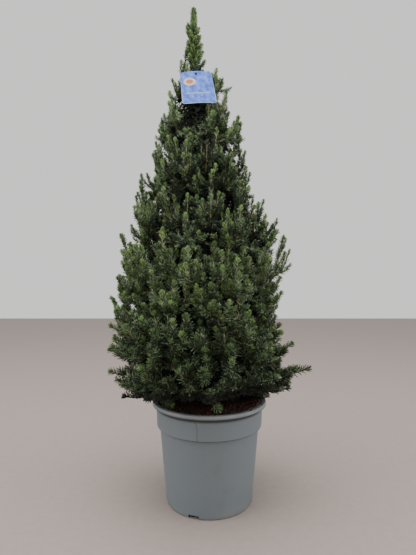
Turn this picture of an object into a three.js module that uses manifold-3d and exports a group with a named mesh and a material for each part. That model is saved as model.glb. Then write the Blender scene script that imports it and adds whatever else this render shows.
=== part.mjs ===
// A dwarf Alberta spruce in a round plastic nursery pot, as a group of closed solids.
// Millimetres, +Z up. The origin is the middle of the pot's flat underside, and -Y is the front.
// The crown is cut into tiers by cones that rise outwards, and each tier into masses by sectors.
// Every mass is one stem with twigs that end in needle sprays, round a smaller dense core.

import * as THREE from 'three';
import { mergeVertices } from 'three/addons/utils/BufferGeometryUtils.js';
import Module from 'manifold-3d';

const wasm = await Module();
wasm.setup();

const GAP = 0.3; // clearance between two solids that meet
const WELD = 1e-3; // vertices nearer than this are one
const DEGREE = Math.PI / 180;
const FRONT = -90; // bearing of the front, in degrees from +X

// Driving dimensions

const POT = {
  height: 228,
  baseRadius: 98,
  footRounding: 3,
  bodyHeight: 170,
  bodyTopRadius: 112.8,
  stepHeight: 2.5,
  collarRadius: 119.4,
  collarTopRadius: 121.2,
  lipRadius: 129.6,
  lipUnderside: 219,
  lipRounding: 2.2,
  wall: 2.2,
  floor: 3,
  sides: 32,
  notches: 4, // drainage notches in the foot
  notchWidth: 24,
  notchHeight: 8,
  notchDepth: 13,
  firstNotch: -110, // bearing in degrees
};

const SOIL = {
  edgeHeight: 219,
  crownHeight: 224, // flat patch that the trunk stands on
  flatRadius: 26,
  heapHeight: 5, // the soil lies higher towards one side
  heapBearing: -15,
  lumps: 2.2,
  lumpFade: 0.25, // share of the way from the flat patch to the wall over which lumps grow
  lumpSeed: 7,
  inset: 1, // clearance to the pot's wall
  sides: 22,
  rings: 4,
};

const TRUNK = {
  height: 1114,
  footRadius: 12.5,
  tipRadius: 1.3,
  flare: 8, // the foot is this much wider on each side, and the flare fades upwards
  flareHeight: 13,
  sides: 10,
  steps: 16,
  crowding: 1.6, // steps lie closer together towards the foot
};

// The whole plant leans: its axis moves this far sideways from the soil up to its top.
const LEAN = { sideways: -33, top: 1125 };

// The crown's reach from the leaning axis, to the left (-X) and to the right (+X).
const OUTLINE = [
  { height: 226, left: 150, right: 128 },
  { height: 265, left: 212, right: 196 },
  { height: 320, left: 222, right: 213 },
  { height: 410, left: 219, right: 178 },
  { height: 480, left: 199, right: 180 },
  { height: 590, left: 185, right: 190 },
  { height: 680, left: 158, right: 142 },
  { height: 780, left: 118, right: 108 },
  { height: 875, left: 92, right: 98 },
  { height: 970, left: 60, right: 54 },
  { height: 1010, left: 28, right: 29 },
  { height: 1075, left: 24, right: 16 },
  { height: 1100, left: 7, right: 7 },
  { height: 1127, left: 4, right: 4 },
];

// Cones between the tiers, from the lowest up: height on the axis and rise in degrees.
const CONES = [
  { foot: 232, rise: 0 },
  { foot: 290, rise: 8 },
  { foot: 370, rise: 22 },
  { foot: 470, rise: 34 },
  { foot: 580, rise: 44 },
  { foot: 700, rise: 52 },
  { foot: 830, rise: 60 },
  { foot: 925, rise: 66 },
];

// Tiers of masses: how many stand in the ring, the bearing where the first sector starts,
// and whether each hangs on a bough or its stem meets the trunk.
const TIERS = [
  { masses: 5, turn: -126, boughs: true },
  { masses: 5, turn: -103, boughs: true },
  { masses: 5, turn: -132, boughs: true },
  { masses: 4, turn: -128, boughs: true },
  { masses: 3, turn: -150, boughs: true },
  { masses: 3, turn: -98, boughs: false },
  { masses: 3, turn: FRONT + 25, boughs: false, span: 310 },
];

// Shoots that stand out of the crown's outline, each by its tip.
const LONG_SHOOTS = [
  { tier: 0, bearing: -5, height: 300, radius: 227 },
];

const BOUGH = {
  rootShare: 0.42, // thickness at the trunk, as a share of the trunk there
  tipRadius: 2.6,
  sides: 5,
  steps: 1,
};

// The dense inside of a mass, which its sprays stand out of.
const CORE = {
  depth: 54, // how far it stays inside the crown's outline
  leastShare: 0.44, // the least that it reaches, as a share of the crown's reach
  inner: 0.34, // where it starts, as a share of the reach
  innerUnhung: 0.14, // the same where no bough carries the mass
  margin: 1.5,
  stride: 1.5,
  farthest: 300,
  sideDents: 4,
  outerDents: 30,
  leastRay: 0.5, // share of a ray that a dent leaves
  grain: 9,
  tuft: 30,
  tuftRoom: 14, // least distance from a tuft to a twig
  tuftLean: 0.6, // how far tufts lean from square to their face towards the way twigs grow
  tuftFacing: 0.25, // least share of a tuft's way that points out of the crown
  around: 9,
  rows: 6,
};

const STEM = { radius: 2.6, bare: 9, sides: 5 };

const SPRAY = {
  area: 4500, // crown surface for each spray, square millimetres
  fewest: 4,
  length: 76, // most of a twig that carries needles
  barest: 0.05, // least share of a twig that is bare
  apart: 19, // least distance between two sprays
  twigRadius: 2.6,
  bodyRadius: 5.5,
  needle: 23,
  taper: 0.4, // share of the needles' length that is lost towards the tip
  needleRoom: 3, // least distance from a needle to another spray's body
  rake: 38, // degrees that the first needles lean forward of square
  tipRake: 84,
  steeper: 16, // degrees that a tip grows steeper than its tier
  steepest: 80,
  bend: 0.6, // where the twig turns, as a share of its length before the tip
  sag: 12, // how far the twig hangs below the straight line to its tip
  lowest: 0.1, // where tips start and end between a tier's two cones
  highest: 0.9,
  sector: 0.88, // share of a mass's sector that holds tips
  play: 0.1, // share of the crown's reach by which tips differ
  fullReach: 110, // where the crown is narrower than this the sprays are smaller
  leastSize: 0.62,
  margin: 0.6, // how far inside its space a needle keeps
  tierSkip: 17, // how far each tier and each mass starts on in the run of spread pairs
  massSkip: 9,
  sides: 3,
  steps: 3,
};

const LEADER = {
  bottom: 968,
  top: 1104,
  radius: 9,
  sides: 6,
  sprays: 7,
  lowest: 1008, // heights between which the tips of its side sprays lie
  highest: 1092,
  length: 50,
  rise: 72,
  bend: 0.5,
  bare: 0.3,
  firstBearing: -50,
  turn: 137.5, // degrees from one spray to the next
  topRoot: 1074, // the upright spray at the tip
  topEnd: 1123,
  topSteps: 4,
};

const TAG = {
  width: 73,
  height: 84,
  arch: 5,
  corner: 5,
  thickness: 1,
  hole: 2.3,
  holeFromTop: 7,
  holePlace: [-30, -40, 956],
  lean: 17.5, // degrees that its foot stands forward
  swing: 6.4, // degrees that its foot swings to the right
  tieWidth: 2.4,
  tieHeight: 2.6,
  tieGrip: 1.5, // how far the tie stops short of the plate's hole
  pinRadius: 1.6,
  pinHead: 3.2,
  pinHeadHeight: 1,
  pinLength: 4, // behind the plate
  roomBeside: 3, // room that the foliage leaves round the plate and the tie
  roomBehind: 3,
  roomAbove: 4,
  roomBelow: 22,
  tieRoomHigh: 6,
  tieRoomWide: 8,
};

const FINISH = {
  pot: { color: 0x6b7071, roughness: 0.6, metalness: 0 },
  soil: { color: 0x38231a, roughness: 0.95, metalness: 0 },
  bark: { color: 0x6b5138, roughness: 0.9, metalness: 0 },
  needles: { color: 0x3f5f2c, roughness: 0.65, metalness: 0 },
  youngNeedles: { color: 0x55783a, roughness: 0.6, metalness: 0 },
  tag: { color: 0x8fa3e0, roughness: 0.35, metalness: 0 },
  tie: { color: 0x23242e, roughness: 0.5, metalness: 0 },
};

// Assembly helpers

const plant = new THREE.Group();
plant.name = 'potted_alberta_spruce';

function addPart(name, geometry, finish) {
  const mesh = new THREE.Mesh(geometry, new THREE.MeshStandardMaterial(finish));
  mesh.name = name;
  plant.add(mesh);
  return mesh;
}

// Joins the vertices that share a place, so that only the surface is left.
function weld(geometry) {
  const bare = geometry.clone();
  bare.deleteAttribute('normal');
  bare.deleteAttribute('uv');
  return mergeVertices(bare, WELD);
}

function toSolid(geometry) {
  const welded = weld(geometry);
  return new wasm.Manifold(new wasm.Mesh({
    numProp: 3,
    vertProperties: new Float32Array(welded.attributes.position.array),
    triVerts: new Uint32Array(welded.index.array),
  }));
}

function toGeometry(solid) {
  const mesh = solid.getMesh();
  const geometry = new THREE.BufferGeometry();
  geometry.setAttribute('position', new THREE.BufferAttribute(new Float32Array(mesh.vertProperties), 3));
  geometry.setIndex(new THREE.BufferAttribute(new Uint32Array(mesh.triVerts), 1));
  geometry.computeVertexNormals();
  return geometry;
}

// The largest body of a solid. Hollows that joining has sealed are filled, and loose scraps dropped.
function largestBody(solid) {
  const largest = (whole) => whole.decompose()
    .reduce((most, body) => (body.volume() > most.volume() ? body : most));
  return largest(toSolid(toGeometry(largest(solid))));
}

// Moves every vertex of a geometry to where place(vertex) puts it.
function warp(geometry, place) {
  const position = geometry.attributes.position;
  const vertex = new THREE.Vector3();
  for (let i = 0; i < position.count; i += 1) {
    vertex.fromBufferAttribute(position, i);
    const moved = place(vertex);
    position.setXYZ(i, moved.x, moved.y, moved.z);
  }
  return geometry;
}

function mix(a, b, share) {
  return a + (b - a) * share;
}

// A repeatable number from 0 to 1 for three whole numbers.
function shake(a, b, c) {
  const wave = Math.sin(a * 12.9898 + b * 78.233 + c * 37.719) * 43758.5453;
  return wave - Math.floor(wave);
}

// Evenly spread pairs of numbers from 0 to 1, one pair for each count.
function spread(count) {
  const u = 0.5 + count * 0.7548776662466927;
  const v = 0.5 + count * 0.5698402909980532;
  return [u - Math.floor(u), v - Math.floor(v)];
}

// Crown frame: distance from the leaning axis, bearing in degrees and height

function axisAt(height) {
  return LEAN.sideways * (height - SOIL.crownHeight) / (LEAN.top - SOIL.crownHeight);
}

function crownPoint(radius, bearing, height) {
  const angle = bearing * DEGREE;
  return new THREE.Vector3(axisAt(height) + radius * Math.cos(angle), radius * Math.sin(angle), height);
}

function reachAt(height, bearing) {
  const last = OUTLINE.length - 2;
  const found = OUTLINE.findIndex((row, i) => i <= last && height < OUTLINE[i + 1].height);
  const row = found < 0 ? last : found;
  const low = OUTLINE[row];
  const high = OUTLINE[row + 1];
  const share = THREE.MathUtils.clamp((height - low.height) / (high.height - low.height), 0, 1);
  const left = mix(low.left, high.left, share);
  const right = mix(low.right, high.right, share);
  return mix(left, right, (1 + Math.cos(bearing * DEGREE)) / 2);
}

// Cones are numbered from 0 up, and a number between two of them gives one in between.
function coneAt(level) {
  const low = Math.min(Math.floor(level), CONES.length - 2);
  const share = level - low;
  return {
    foot: mix(CONES[low].foot, CONES[low + 1].foot, share),
    rise: mix(CONES[low].rise, CONES[low + 1].rise, share) * DEGREE,
  };
}

function coneHeight(level, radius) {
  const cone = coneAt(level);
  return cone.foot + radius * Math.tan(cone.rise);
}

// Where a cone meets the crown's outline on a bearing. The radius settles as it is corrected.
function outerEdge(level, bearing) {
  const rounds = 40;
  const correction = 0.35;
  let radius = 0;
  for (let round = 0; round < rounds; round += 1) {
    radius = mix(radius, reachAt(coneHeight(level, radius), bearing), correction);
  }
  return { radius, height: coneHeight(level, radius) };
}

function trunkRadius(height) {
  const foot = SOIL.crownHeight;
  const share = THREE.MathUtils.clamp((height - foot) / (TRUNK.height - foot), 0, 1);
  const flare = TRUNK.flare * Math.exp((foot - height) / TRUNK.flareHeight);
  return mix(TRUNK.footRadius, TRUNK.tipRadius, share) + flare;
}

// Pot

// Half of the pot's section, from the middle of the underside round the wall and back to the axis.
function potProfile() {
  const { wall } = POT;
  const foot = POT.footRounding;
  const footCorner = foot * (1 - Math.SQRT1_2);
  const lip = POT.lipRounding;
  const shoulder = POT.bodyHeight + POT.stepHeight;
  const innerLip = POT.collarTopRadius - wall;
  const points = [
    [0, 0],
    [POT.baseRadius - foot, 0],
    [POT.baseRadius - footCorner, footCorner],
    [POT.baseRadius, foot],
    [POT.bodyTopRadius, POT.bodyHeight],
    [POT.collarRadius, shoulder],
    [POT.collarTopRadius, POT.lipUnderside],
    [POT.lipRadius - lip / 2, POT.lipUnderside],
    [POT.lipRadius, POT.lipUnderside + lip / 2],
    [POT.lipRadius, POT.height - lip],
    [POT.lipRadius - lip * 0.5, POT.height - lip * 0.2],
    [POT.lipRadius - lip * 1.2, POT.height],
    [innerLip + lip * 0.6, POT.height],
    [innerLip, POT.height - lip],
    [POT.collarRadius - wall, shoulder + wall],
    [POT.bodyTopRadius - wall, POT.bodyHeight + wall],
    [POT.baseRadius - wall, POT.floor],
    [0, POT.floor],
  ];
  return points.map(([radius, height]) => new THREE.Vector2(radius, height));
}

// A lathe turns about Y, so it is stood up on Z.
function turned(points, sides) {
  return new THREE.LatheGeometry(points, sides).rotateX(Math.PI / 2);
}

function potSolid() {
  let pot = toSolid(turned(potProfile(), POT.sides));
  for (let i = 0; i < POT.notches; i += 1) {
    const notch = new THREE.BoxGeometry(POT.notchDepth, POT.notchWidth, POT.notchHeight * 2);
    notch.translate(POT.baseRadius, 0, 0);
    notch.rotateZ((POT.firstNotch + i * 360 / POT.notches) * DEGREE);
    pot = pot.subtract(toSolid(notch));
  }
  return pot;
}

addPart('pot', toGeometry(potSolid()), FINISH.pot);

// Soil: fills the pot's inside, with a lumpy top that is heaped to one side

function soilHeight(radius, bearing) {
  const edge = POT.collarTopRadius - POT.wall;
  const share = THREE.MathUtils.clamp((radius - SOIL.flatRadius) / (edge - SOIL.flatRadius), 0, 1);
  const heap = SOIL.heapHeight * Math.max(0, Math.cos((bearing - SOIL.heapBearing) * DEGREE)) * share;
  const level = 2 * shake(Math.round(radius), Math.round(bearing), SOIL.lumpSeed) - 1;
  const lump = SOIL.lumps * Math.min(1, share / SOIL.lumpFade) * level;
  return mix(SOIL.crownHeight, SOIL.edgeHeight, share) + heap + lump;
}

function soilSolid() {
  const inset = POT.wall + SOIL.inset;
  const shoulder = POT.bodyHeight + POT.wall;
  const edge = POT.collarTopRadius - inset;
  const profile = [
    new THREE.Vector2(0, POT.floor + GAP),
    new THREE.Vector2(POT.baseRadius - inset, POT.floor + GAP),
    new THREE.Vector2(POT.bodyTopRadius - inset, shoulder),
    new THREE.Vector2(POT.collarRadius - inset, shoulder + POT.stepHeight + SOIL.inset),
  ];
  for (let ring = 0; ring < SOIL.rings; ring += 1) {
    const radius = mix(edge, SOIL.flatRadius, ring / (SOIL.rings - 1));
    profile.push(new THREE.Vector2(radius, SOIL.crownHeight));
  }
  profile.push(new THREE.Vector2(0, SOIL.crownHeight));
  return toSolid(warp(weld(turned(profile, SOIL.sides)), (vertex) => {
    if (vertex.z < SOIL.crownHeight) {
      return vertex;
    }
    const bearing = Math.atan2(vertex.y, vertex.x) / DEGREE;
    return vertex.setZ(soilHeight(Math.hypot(vertex.x, vertex.y), bearing));
  }));
}

addPart('soil', toGeometry(soilSolid()), FINISH.soil);

// Rods: straight bodies along Y that are bent onto a curve

// The frame of a curve at a share of its length: where it is, which way it runs, and two sides.
function bender(curve) {
  const whole = curve.getPoint(1).sub(curve.getPoint(0)).normalize();
  const reference = Math.abs(whole.z) > 0.9 ? new THREE.Vector3(0, 1, 0) : new THREE.Vector3(0, 0, 1);
  return (share, side, other) => {
    const along = curve.getTangent(share);
    const across = new THREE.Vector3().crossVectors(reference, along).normalize();
    const third = new THREE.Vector3().crossVectors(across, along);
    return curve.getPoint(share).addScaledVector(across, side).addScaledVector(third, other);
  };
}

// A closed rod whose radius changes along a curve. A rod with no end radius runs to a point.
function rodGeometry(curve, radiusAt, sides, steps, shareAt = (share) => share) {
  const pointed = radiusAt(1) === 0;
  const rod = new THREE.CylinderGeometry(pointed ? 0 : 1, 1, 1, sides, steps).translate(0, 0.5, 0);
  const bend = bender(curve);
  return warp(rod, (vertex) => {
    const share = shareAt(THREE.MathUtils.clamp(vertex.y, 0, 1));
    const length = Math.hypot(vertex.x, vertex.z);
    const radius = length < 1e-6 ? 0 : radiusAt(share) / length;
    return bend(share, vertex.x * radius, vertex.z * radius);
  });
}

// Trunk: one leaning tapered stem with a flared foot, cut flat on the soil

function trunkAxis(from, to) {
  return new THREE.LineCurve3(crownPoint(0, 0, from), crownPoint(0, 0, to));
}

function trunkSolid(clearance) {
  const foot = SOIL.crownHeight + GAP;
  const heightAt = (share) => mix(foot, TRUNK.height, share);
  const axis = trunkAxis(foot, TRUNK.height);
  const radiusAt = (share) => trunkRadius(heightAt(share)) + clearance;
  const trunk = rodGeometry(axis, radiusAt, TRUNK.sides, TRUNK.steps, (share) => share ** TRUNK.crowding);
  return toSolid(warp(trunk, (vertex) => {
    vertex.z = vertex.z < foot + 1 ? foot : vertex.z;
    return vertex;
  }));
}

addPart('trunk', toGeometry(trunkSolid(0)), FINISH.bark);
const trunkRoom = trunkSolid(GAP);

// Name tag: a plate that hangs in front of the crown from a tie round the trunk

function hangTag(geometry) {
  geometry.rotateZ(TAG.swing * DEGREE);
  geometry.rotateX(Math.PI / 2);
  geometry.rotateX(-TAG.lean * DEGREE);
  return geometry.translate(...TAG.holePlace);
}

function tagPlateSolid() {
  const half = TAG.width / 2;
  const top = TAG.holeFromTop;
  const foot = top - TAG.height;
  const shoulder = top - TAG.arch;
  const round = TAG.corner;
  const outline = new THREE.Shape();
  outline.moveTo(-half + round, foot);
  outline.lineTo(half - round, foot);
  outline.quadraticCurveTo(half, foot, half, foot + round);
  outline.lineTo(half, shoulder - round);
  outline.quadraticCurveTo(half, shoulder, half - round, shoulder);
  outline.quadraticCurveTo(0, top + TAG.arch, -half + round, shoulder);
  outline.quadraticCurveTo(-half, shoulder, -half, shoulder - round);
  outline.lineTo(-half, foot + round);
  outline.quadraticCurveTo(-half, foot, -half + round, foot);
  const hole = new THREE.Path();
  hole.absarc(0, 0, TAG.hole, 0, 2 * Math.PI, true);
  outline.holes.push(hole);
  const plate = new THREE.ExtrudeGeometry(outline, {
    depth: TAG.thickness,
    bevelEnabled: false,
    curveSegments: 4,
  });
  return toSolid(hangTag(plate));
}

// The tie is a flat loop that narrows towards the plate, and a headed pin through the plate's hole.
function tagTieSolid() {
  const [x, y, z] = TAG.holePlace;
  const centre = crownPoint(0, 0, z);
  const inner = trunkRadius(z - TAG.tieHeight) + GAP;
  const outer = inner + TAG.tieWidth;
  const { pinRadius } = TAG;
  const reach = Math.hypot(x - centre.x, y) - TAG.tieGrip;
  const loop = new THREE.Shape();
  loop.absarc(0, 0, outer, 0, Math.PI, false);
  loop.lineTo(-pinRadius, -reach);
  loop.lineTo(pinRadius, -reach);
  loop.closePath();
  const room = new THREE.Path();
  room.absarc(0, 0, inner, Math.PI, 0, true);
  room.lineTo(0, -reach * 0.75);
  room.closePath();
  loop.holes.push(room);
  const strap = new THREE.ExtrudeGeometry(loop, {
    depth: TAG.tieHeight,
    bevelEnabled: false,
    curveSegments: 5,
  });
  strap.rotateZ(Math.atan2(x - centre.x, -y));
  strap.translate(centre.x, 0, z - TAG.tieHeight / 2);
  const headFoot = TAG.thickness + GAP;
  const pin = new THREE.CylinderGeometry(pinRadius, pinRadius, TAG.pinLength + headFoot + GAP, 8);
  pin.rotateX(Math.PI / 2).translate(0, 0, (headFoot + GAP - TAG.pinLength) / 2);
  const head = new THREE.CylinderGeometry(TAG.pinHead, TAG.pinHead, TAG.pinHeadHeight, 10);
  head.rotateX(Math.PI / 2).translate(0, 0, headFoot + TAG.pinHeadHeight / 2);
  return toSolid(strap).add(toSolid(hangTag(pin))).add(toSolid(hangTag(head)));
}

// Whether a point leaves free the tie and the room in front of the tag, down to just below its foot.
function clearOfTag(point) {
  const [x, y, z] = TAG.holePlace;
  const drop = z - point.z;
  const middle = x + drop * Math.tan(TAG.swing * DEGREE);
  const below = (TAG.height - TAG.holeFromTop) * Math.cos(TAG.lean * DEGREE) + TAG.roomBelow;
  if (drop > below || drop < -TAG.holeFromTop - TAG.roomAbove) {
    return true;
  }
  const besideTie = Math.abs(point.x - x) < TAG.tieRoomWide && point.y < 0;
  const onTie = besideTie && Math.abs(drop) < TAG.tieRoomHigh;
  const behind = point.y > y - drop * Math.tan(TAG.lean * DEGREE) + TAG.roomBehind;
  return !onTie && (behind || Math.abs(point.x - middle) > TAG.width / 2 + TAG.roomBeside);
}

addPart('tag_plate', toGeometry(tagPlateSolid()), FINISH.tag);
addPart('tag_tie', toGeometry(tagTieSolid()), FINISH.tie);

// Spaces: each mass keeps between two cones and two upright planes through the axis

function spaceOf(tier, number) {
  const { masses, turn, span = 360 } = TIERS[tier];
  const wide = span / masses;
  return { tier, number, wide, middle: turn + (number + 0.5) * wide };
}

function placeOf(point) {
  const x = point.x - axisAt(point.z);
  return { radius: Math.hypot(x, point.y), bearing: Math.atan2(point.y, x) / DEGREE };
}

// How far a point lies inside a space, less than nothing when it is outside.
function depthIn(space, point) {
  const { radius, bearing } = placeOf(point);
  const low = coneAt(space.tier);
  const high = coneAt(space.tier + 1);
  const turn = THREE.MathUtils.euclideanModulo(bearing - space.middle + 180, 360) - 180;
  return Math.min(
    radius * Math.sin(Math.max(space.wide / 2 - Math.abs(turn), -90) * DEGREE),
    (point.z - low.foot) * Math.cos(low.rise) - radius * Math.sin(low.rise),
    radius * Math.sin(high.rise) - (point.z - high.foot) * Math.cos(high.rise),
    radius - trunkRadius(point.z),
  );
}

// Where a core starts and ends along a reach. A mass on a bough leaves the crown's middle bare.
function coreSpan(reach, hung) {
  return {
    inner: reach * (hung ? CORE.inner : CORE.innerUnhung),
    outer: Math.max(reach - CORE.depth, reach * CORE.leastShare),
  };
}

function inCoreRoom(space, hung, point) {
  const { radius, bearing } = placeOf(point);
  const { inner, outer } = coreSpan(reachAt(point.z, bearing), hung);
  return radius > inner && radius < outer && depthIn(space, point) > CORE.margin && clearOfTag(point);
}

// Whether the end of a needle keeps to a space and leaves the tag free.
function holdsNeedle(space, point) {
  return depthIn(space, point) > SPRAY.margin && clearOfTag(point);
}

// The core: rays from a middle point run to the sides of its room, and stop short by uneven dents.
function coreGeometry(space, hung, centre) {
  const ball = weld(new THREE.SphereGeometry(1, CORE.around, CORE.rows));
  const outwards = crownPoint(1, space.middle, 0).sub(crownPoint(0, 0, 0));
  return warp(ball, (direction) => {
    const step = direction.clone().normalize();
    const point = centre.clone();
    let far = 0;
    while (far < CORE.farthest && inCoreRoom(space, hung, point)) {
      far += CORE.stride;
      point.copy(centre).addScaledVector(step, far);
    }
    const facing = Math.max(0, step.dot(outwards));
    const [i, j, k] = step.toArray().map((part) => Math.round(part * CORE.grain));
    const dent = shake(i, j, k + space.number) * mix(CORE.sideDents, CORE.outerDents, facing);
    return centre.clone().addScaledVector(step, Math.max(far - dent, far * CORE.leastRay));
  });
}

// A core whose outer faces are raised to short tufts wherever no twig passes.
function tuftedCore(space, hung, centre, twigs) {
  const core = coreGeometry(space, hung, centre).toNonIndexed();
  const outwards = crownPoint(1, space.middle, 0).sub(crownPoint(0, 0, 0));
  const corner = (i) => new THREE.Vector3().fromBufferAttribute(core.attributes.position, i);
  const faces = [];
  for (let i = 0; i < core.attributes.position.count; i += 3) {
    const [a, b, c] = [corner(i), corner(i + 1), corner(i + 2)];
    const middle = a.clone().add(b).add(c).divideScalar(3);
    const normal = b.clone().sub(a).cross(c.clone().sub(a)).normalize();
    const way = growth(space.tier + 0.5, placeOf(middle).bearing, SPRAY.steeper);
    const top = middle.clone().addScaledVector(normal.lerp(way, CORE.tuftLean).normalize(), CORE.tuft);
    const free = [0, 0.4, 0.8].every((share) => {
      const point = middle.clone().lerp(top, share);
      return twigs.every((twig) => distanceTo(twig.curve, SPRAY.barest, point) > CORE.tuftRoom);
    });
    if (free && normal.dot(outwards) > CORE.tuftFacing && holdsNeedle(space, top)) {
      faces.push(a, b, top, b, c, top, c, a, top);
    } else {
      faces.push(a, b, c);
    }
  }
  return new THREE.BufferGeometry().setFromPoints(faces);
}

// Sprays: a twig that ends in a slim body, with a needle raised on each face of it. The twig is
// bare up to a share of its length, and a needle that would leave the mass's space is left out.

function sprayGeometry(curve, bare, size, holds) {
  const length = curve.getLength();
  const rows = size.steps;
  const twist = Math.PI / size.sides;
  const rod = new THREE.ConeGeometry(1, 1, size.sides, rows).translate(0, 0.5, 0);
  const body = warp(rod, (vertex) => {
    const row = Math.round(vertex.y * rows);
    const around = Math.hypot(vertex.x, vertex.z);
    const share = row === 0 ? 0 : mix(bare, 1, (row - 1) / (rows - 1));
    const swell = row === 0 ? size.twigRadius : size.bodyRadius;
    const radius = around < 1e-6 ? 0 : swell / around;
    const angle = row * twist;
    return new THREE.Vector3(
      (vertex.x * Math.cos(angle) + vertex.z * Math.sin(angle)) * radius,
      share * length,
      (vertex.z * Math.cos(angle) - vertex.x * Math.sin(angle)) * radius,
    );
  }).toNonIndexed();
  const bend = bender(curve);
  const bent = (vertex) => bend(Math.min(vertex.y / length, 1), vertex.x, vertex.z)
    .addScaledVector(curve.getTangent(1), Math.max(vertex.y - length, 0));
  const corner = (i) => new THREE.Vector3().fromBufferAttribute(body.attributes.position, i);
  const faces = [];
  for (let i = 0; i < body.attributes.position.count; i += 3) {
    const face = [corner(i), corner(i + 1), corner(i + 2)];
    const middle = new THREE.Vector3().add(face[0]).add(face[1]).add(face[2]).divideScalar(3);
    const along = (middle.y / length - bare) / (1 - bare);
    const rake = mix(size.rake, size.tipRake, along) * DEGREE;
    const outward = new THREE.Vector3(middle.x, 0, middle.z).normalize();
    const needle = size.needle * (1 - size.taper * along);
    const apex = middle.clone().addScaledVector(outward, needle * Math.cos(rake));
    apex.y += needle * Math.sin(rake);
    const [a, b, c] = face.map(bent);
    const top = bent(apex);
    if (along > 0 && holds(top)) {
      faces.push(a, b, top, b, c, top, c, a, top);
    } else {
      faces.push(a, b, c);
    }
  }
  return new THREE.BufferGeometry().setFromPoints(faces);
}

// The way a twig grows at its tip: outwards along the tier's slope, and a little steeper.
function growth(level, bearing, steeper) {
  const rise = Math.min(coneAt(level).rise + steeper * DEGREE, SPRAY.steepest * DEGREE);
  const angle = bearing * DEGREE;
  return new THREE.Vector3(
    Math.cos(rise) * Math.cos(angle),
    Math.cos(rise) * Math.sin(angle),
    Math.sin(rise),
  );
}

// Sprays are smaller towards the narrow top of the crown.
function sizedSpray(reach) {
  const share = THREE.MathUtils.clamp(reach / SPRAY.fullReach, SPRAY.leastSize, 1);
  return { ...SPRAY, bodyRadius: SPRAY.bodyRadius * share, needle: SPRAY.needle * share };
}

// The number of sprays follows the part of the crown's surface that the mass covers.
function sprayCount(space) {
  const low = outerEdge(space.tier, space.middle);
  const high = outerEdge(space.tier + 1, space.middle);
  const across = (low.radius + high.radius) / 2 * space.wide * DEGREE;
  const up = Math.hypot(high.height - low.height, high.radius - low.radius);
  return Math.max(SPRAY.fewest, Math.round(across * up / SPRAY.area));
}

// A twig curves from the stem's end to its tip, where it grows outwards.
function twigTo(tip, level, bearing, stemEnd, sag) {
  const way = growth(level, bearing, SPRAY.steeper);
  const turn = tip.clone().addScaledVector(way, -tip.distanceTo(stemEnd) * SPRAY.bend);
  turn.z -= sag;
  return new THREE.QuadraticBezierCurve3(stemEnd, turn, tip);
}

// The counted twigs of a mass end on the crown's outline, evenly spread over its part of it.
function twigCurve(space, stemEnd, count) {
  const [u, v] = spread(count + space.tier * SPRAY.tierSkip + space.number * SPRAY.massSkip);
  const level = space.tier + mix(SPRAY.lowest, SPRAY.highest, v);
  const bearing = space.middle + (u - 0.5) * space.wide * SPRAY.sector;
  const play = SPRAY.play * (1 - shake(space.tier, space.number, count));
  const radius = outerEdge(level, bearing).radius * (1 - play);
  const tip = crownPoint(radius, bearing, coneHeight(level, radius));
  return twigTo(tip, level, bearing, stemEnd, SPRAY.sag * shake(count, space.tier, space.number));
}

function longShoots(space, stemEnd) {
  return LONG_SHOOTS
    .filter(({ tier, bearing }) => tier === space.tier && Math.abs(bearing - space.middle) < space.wide / 2)
    .map(({ bearing, height, radius }) => {
      const tip = crownPoint(radius, bearing, height);
      return twigTo(tip, space.tier, bearing, stemEnd, SPRAY.sag);
    });
}

// The share of a curve's length from which on it is outside a room.
function exitShare(curve, inRoom) {
  const stride = 0.02;
  let share = 1;
  while (share > 0 && !inRoom(curve.getPointAt(share))) {
    share -= stride;
  }
  return share;
}

// Distance from a point to the outer part of a curve.
function distanceTo(curve, bare, point) {
  const samples = [0, 0.17, 0.33, 0.5, 0.67, 0.83, 1].map((share) => curve.getPointAt(mix(bare, 1, share)));
  return Math.min(...samples.map((sample) => sample.distanceTo(point)));
}

// All sprays of a mass. A twig that would leave the space or crowd another is skipped.
function twigsOf(space, stemEnd, inRoom) {
  const curves = longShoots(space, stemEnd);
  for (let count = 0; count < sprayCount(space); count += 1) {
    curves.push(twigCurve(space, stemEnd, count));
  }
  const twigs = [];
  curves.forEach((curve) => {
    const length = curve.getLength();
    const bare = Math.max(exitShare(curve, inRoom), 1 - SPRAY.length / length, SPRAY.barest);
    const clear = [0, 0.33, 0.66, 1].every((share) => {
      const point = curve.getPointAt(mix(bare, 1, share));
      const crowded = twigs.some((other) => distanceTo(other.curve, other.bare, point) < SPRAY.apart);
      return depthIn(space, point) > SPRAY.bodyRadius + 1 && clearOfTag(point) && !crowded;
    });
    if (clear) {
      twigs.push({ curve, bare, size: sizedSpray(placeOf(curve.getPoint(1)).radius) });
    }
  });
  return twigs;
}

function spraysOf(space, twigs) {
  return twigs.map((twig) => {
    const room = SPRAY.bodyRadius + SPRAY.needleRoom;
    const others = twigs.filter((other) => other !== twig);
    const holds = (point) => holdsNeedle(space, point)
      && others.every((other) => distanceTo(other.curve, other.bare, point) > room);
    return sprayGeometry(twig.curve, twig.bare, twig.size, holds);
  });
}

// Masses and their boughs

function stemLine(space, hung) {
  const level = space.tier + 0.5;
  const { inner, outer } = coreSpan(outerEdge(level, space.middle).radius, hung);
  const at = (radius) => crownPoint(radius, space.middle, coneHeight(level, radius));
  return { trunk: at(0), joint: at(hung ? inner - STEM.bare : 0), middle: at((inner + outer) / 2) };
}

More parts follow.
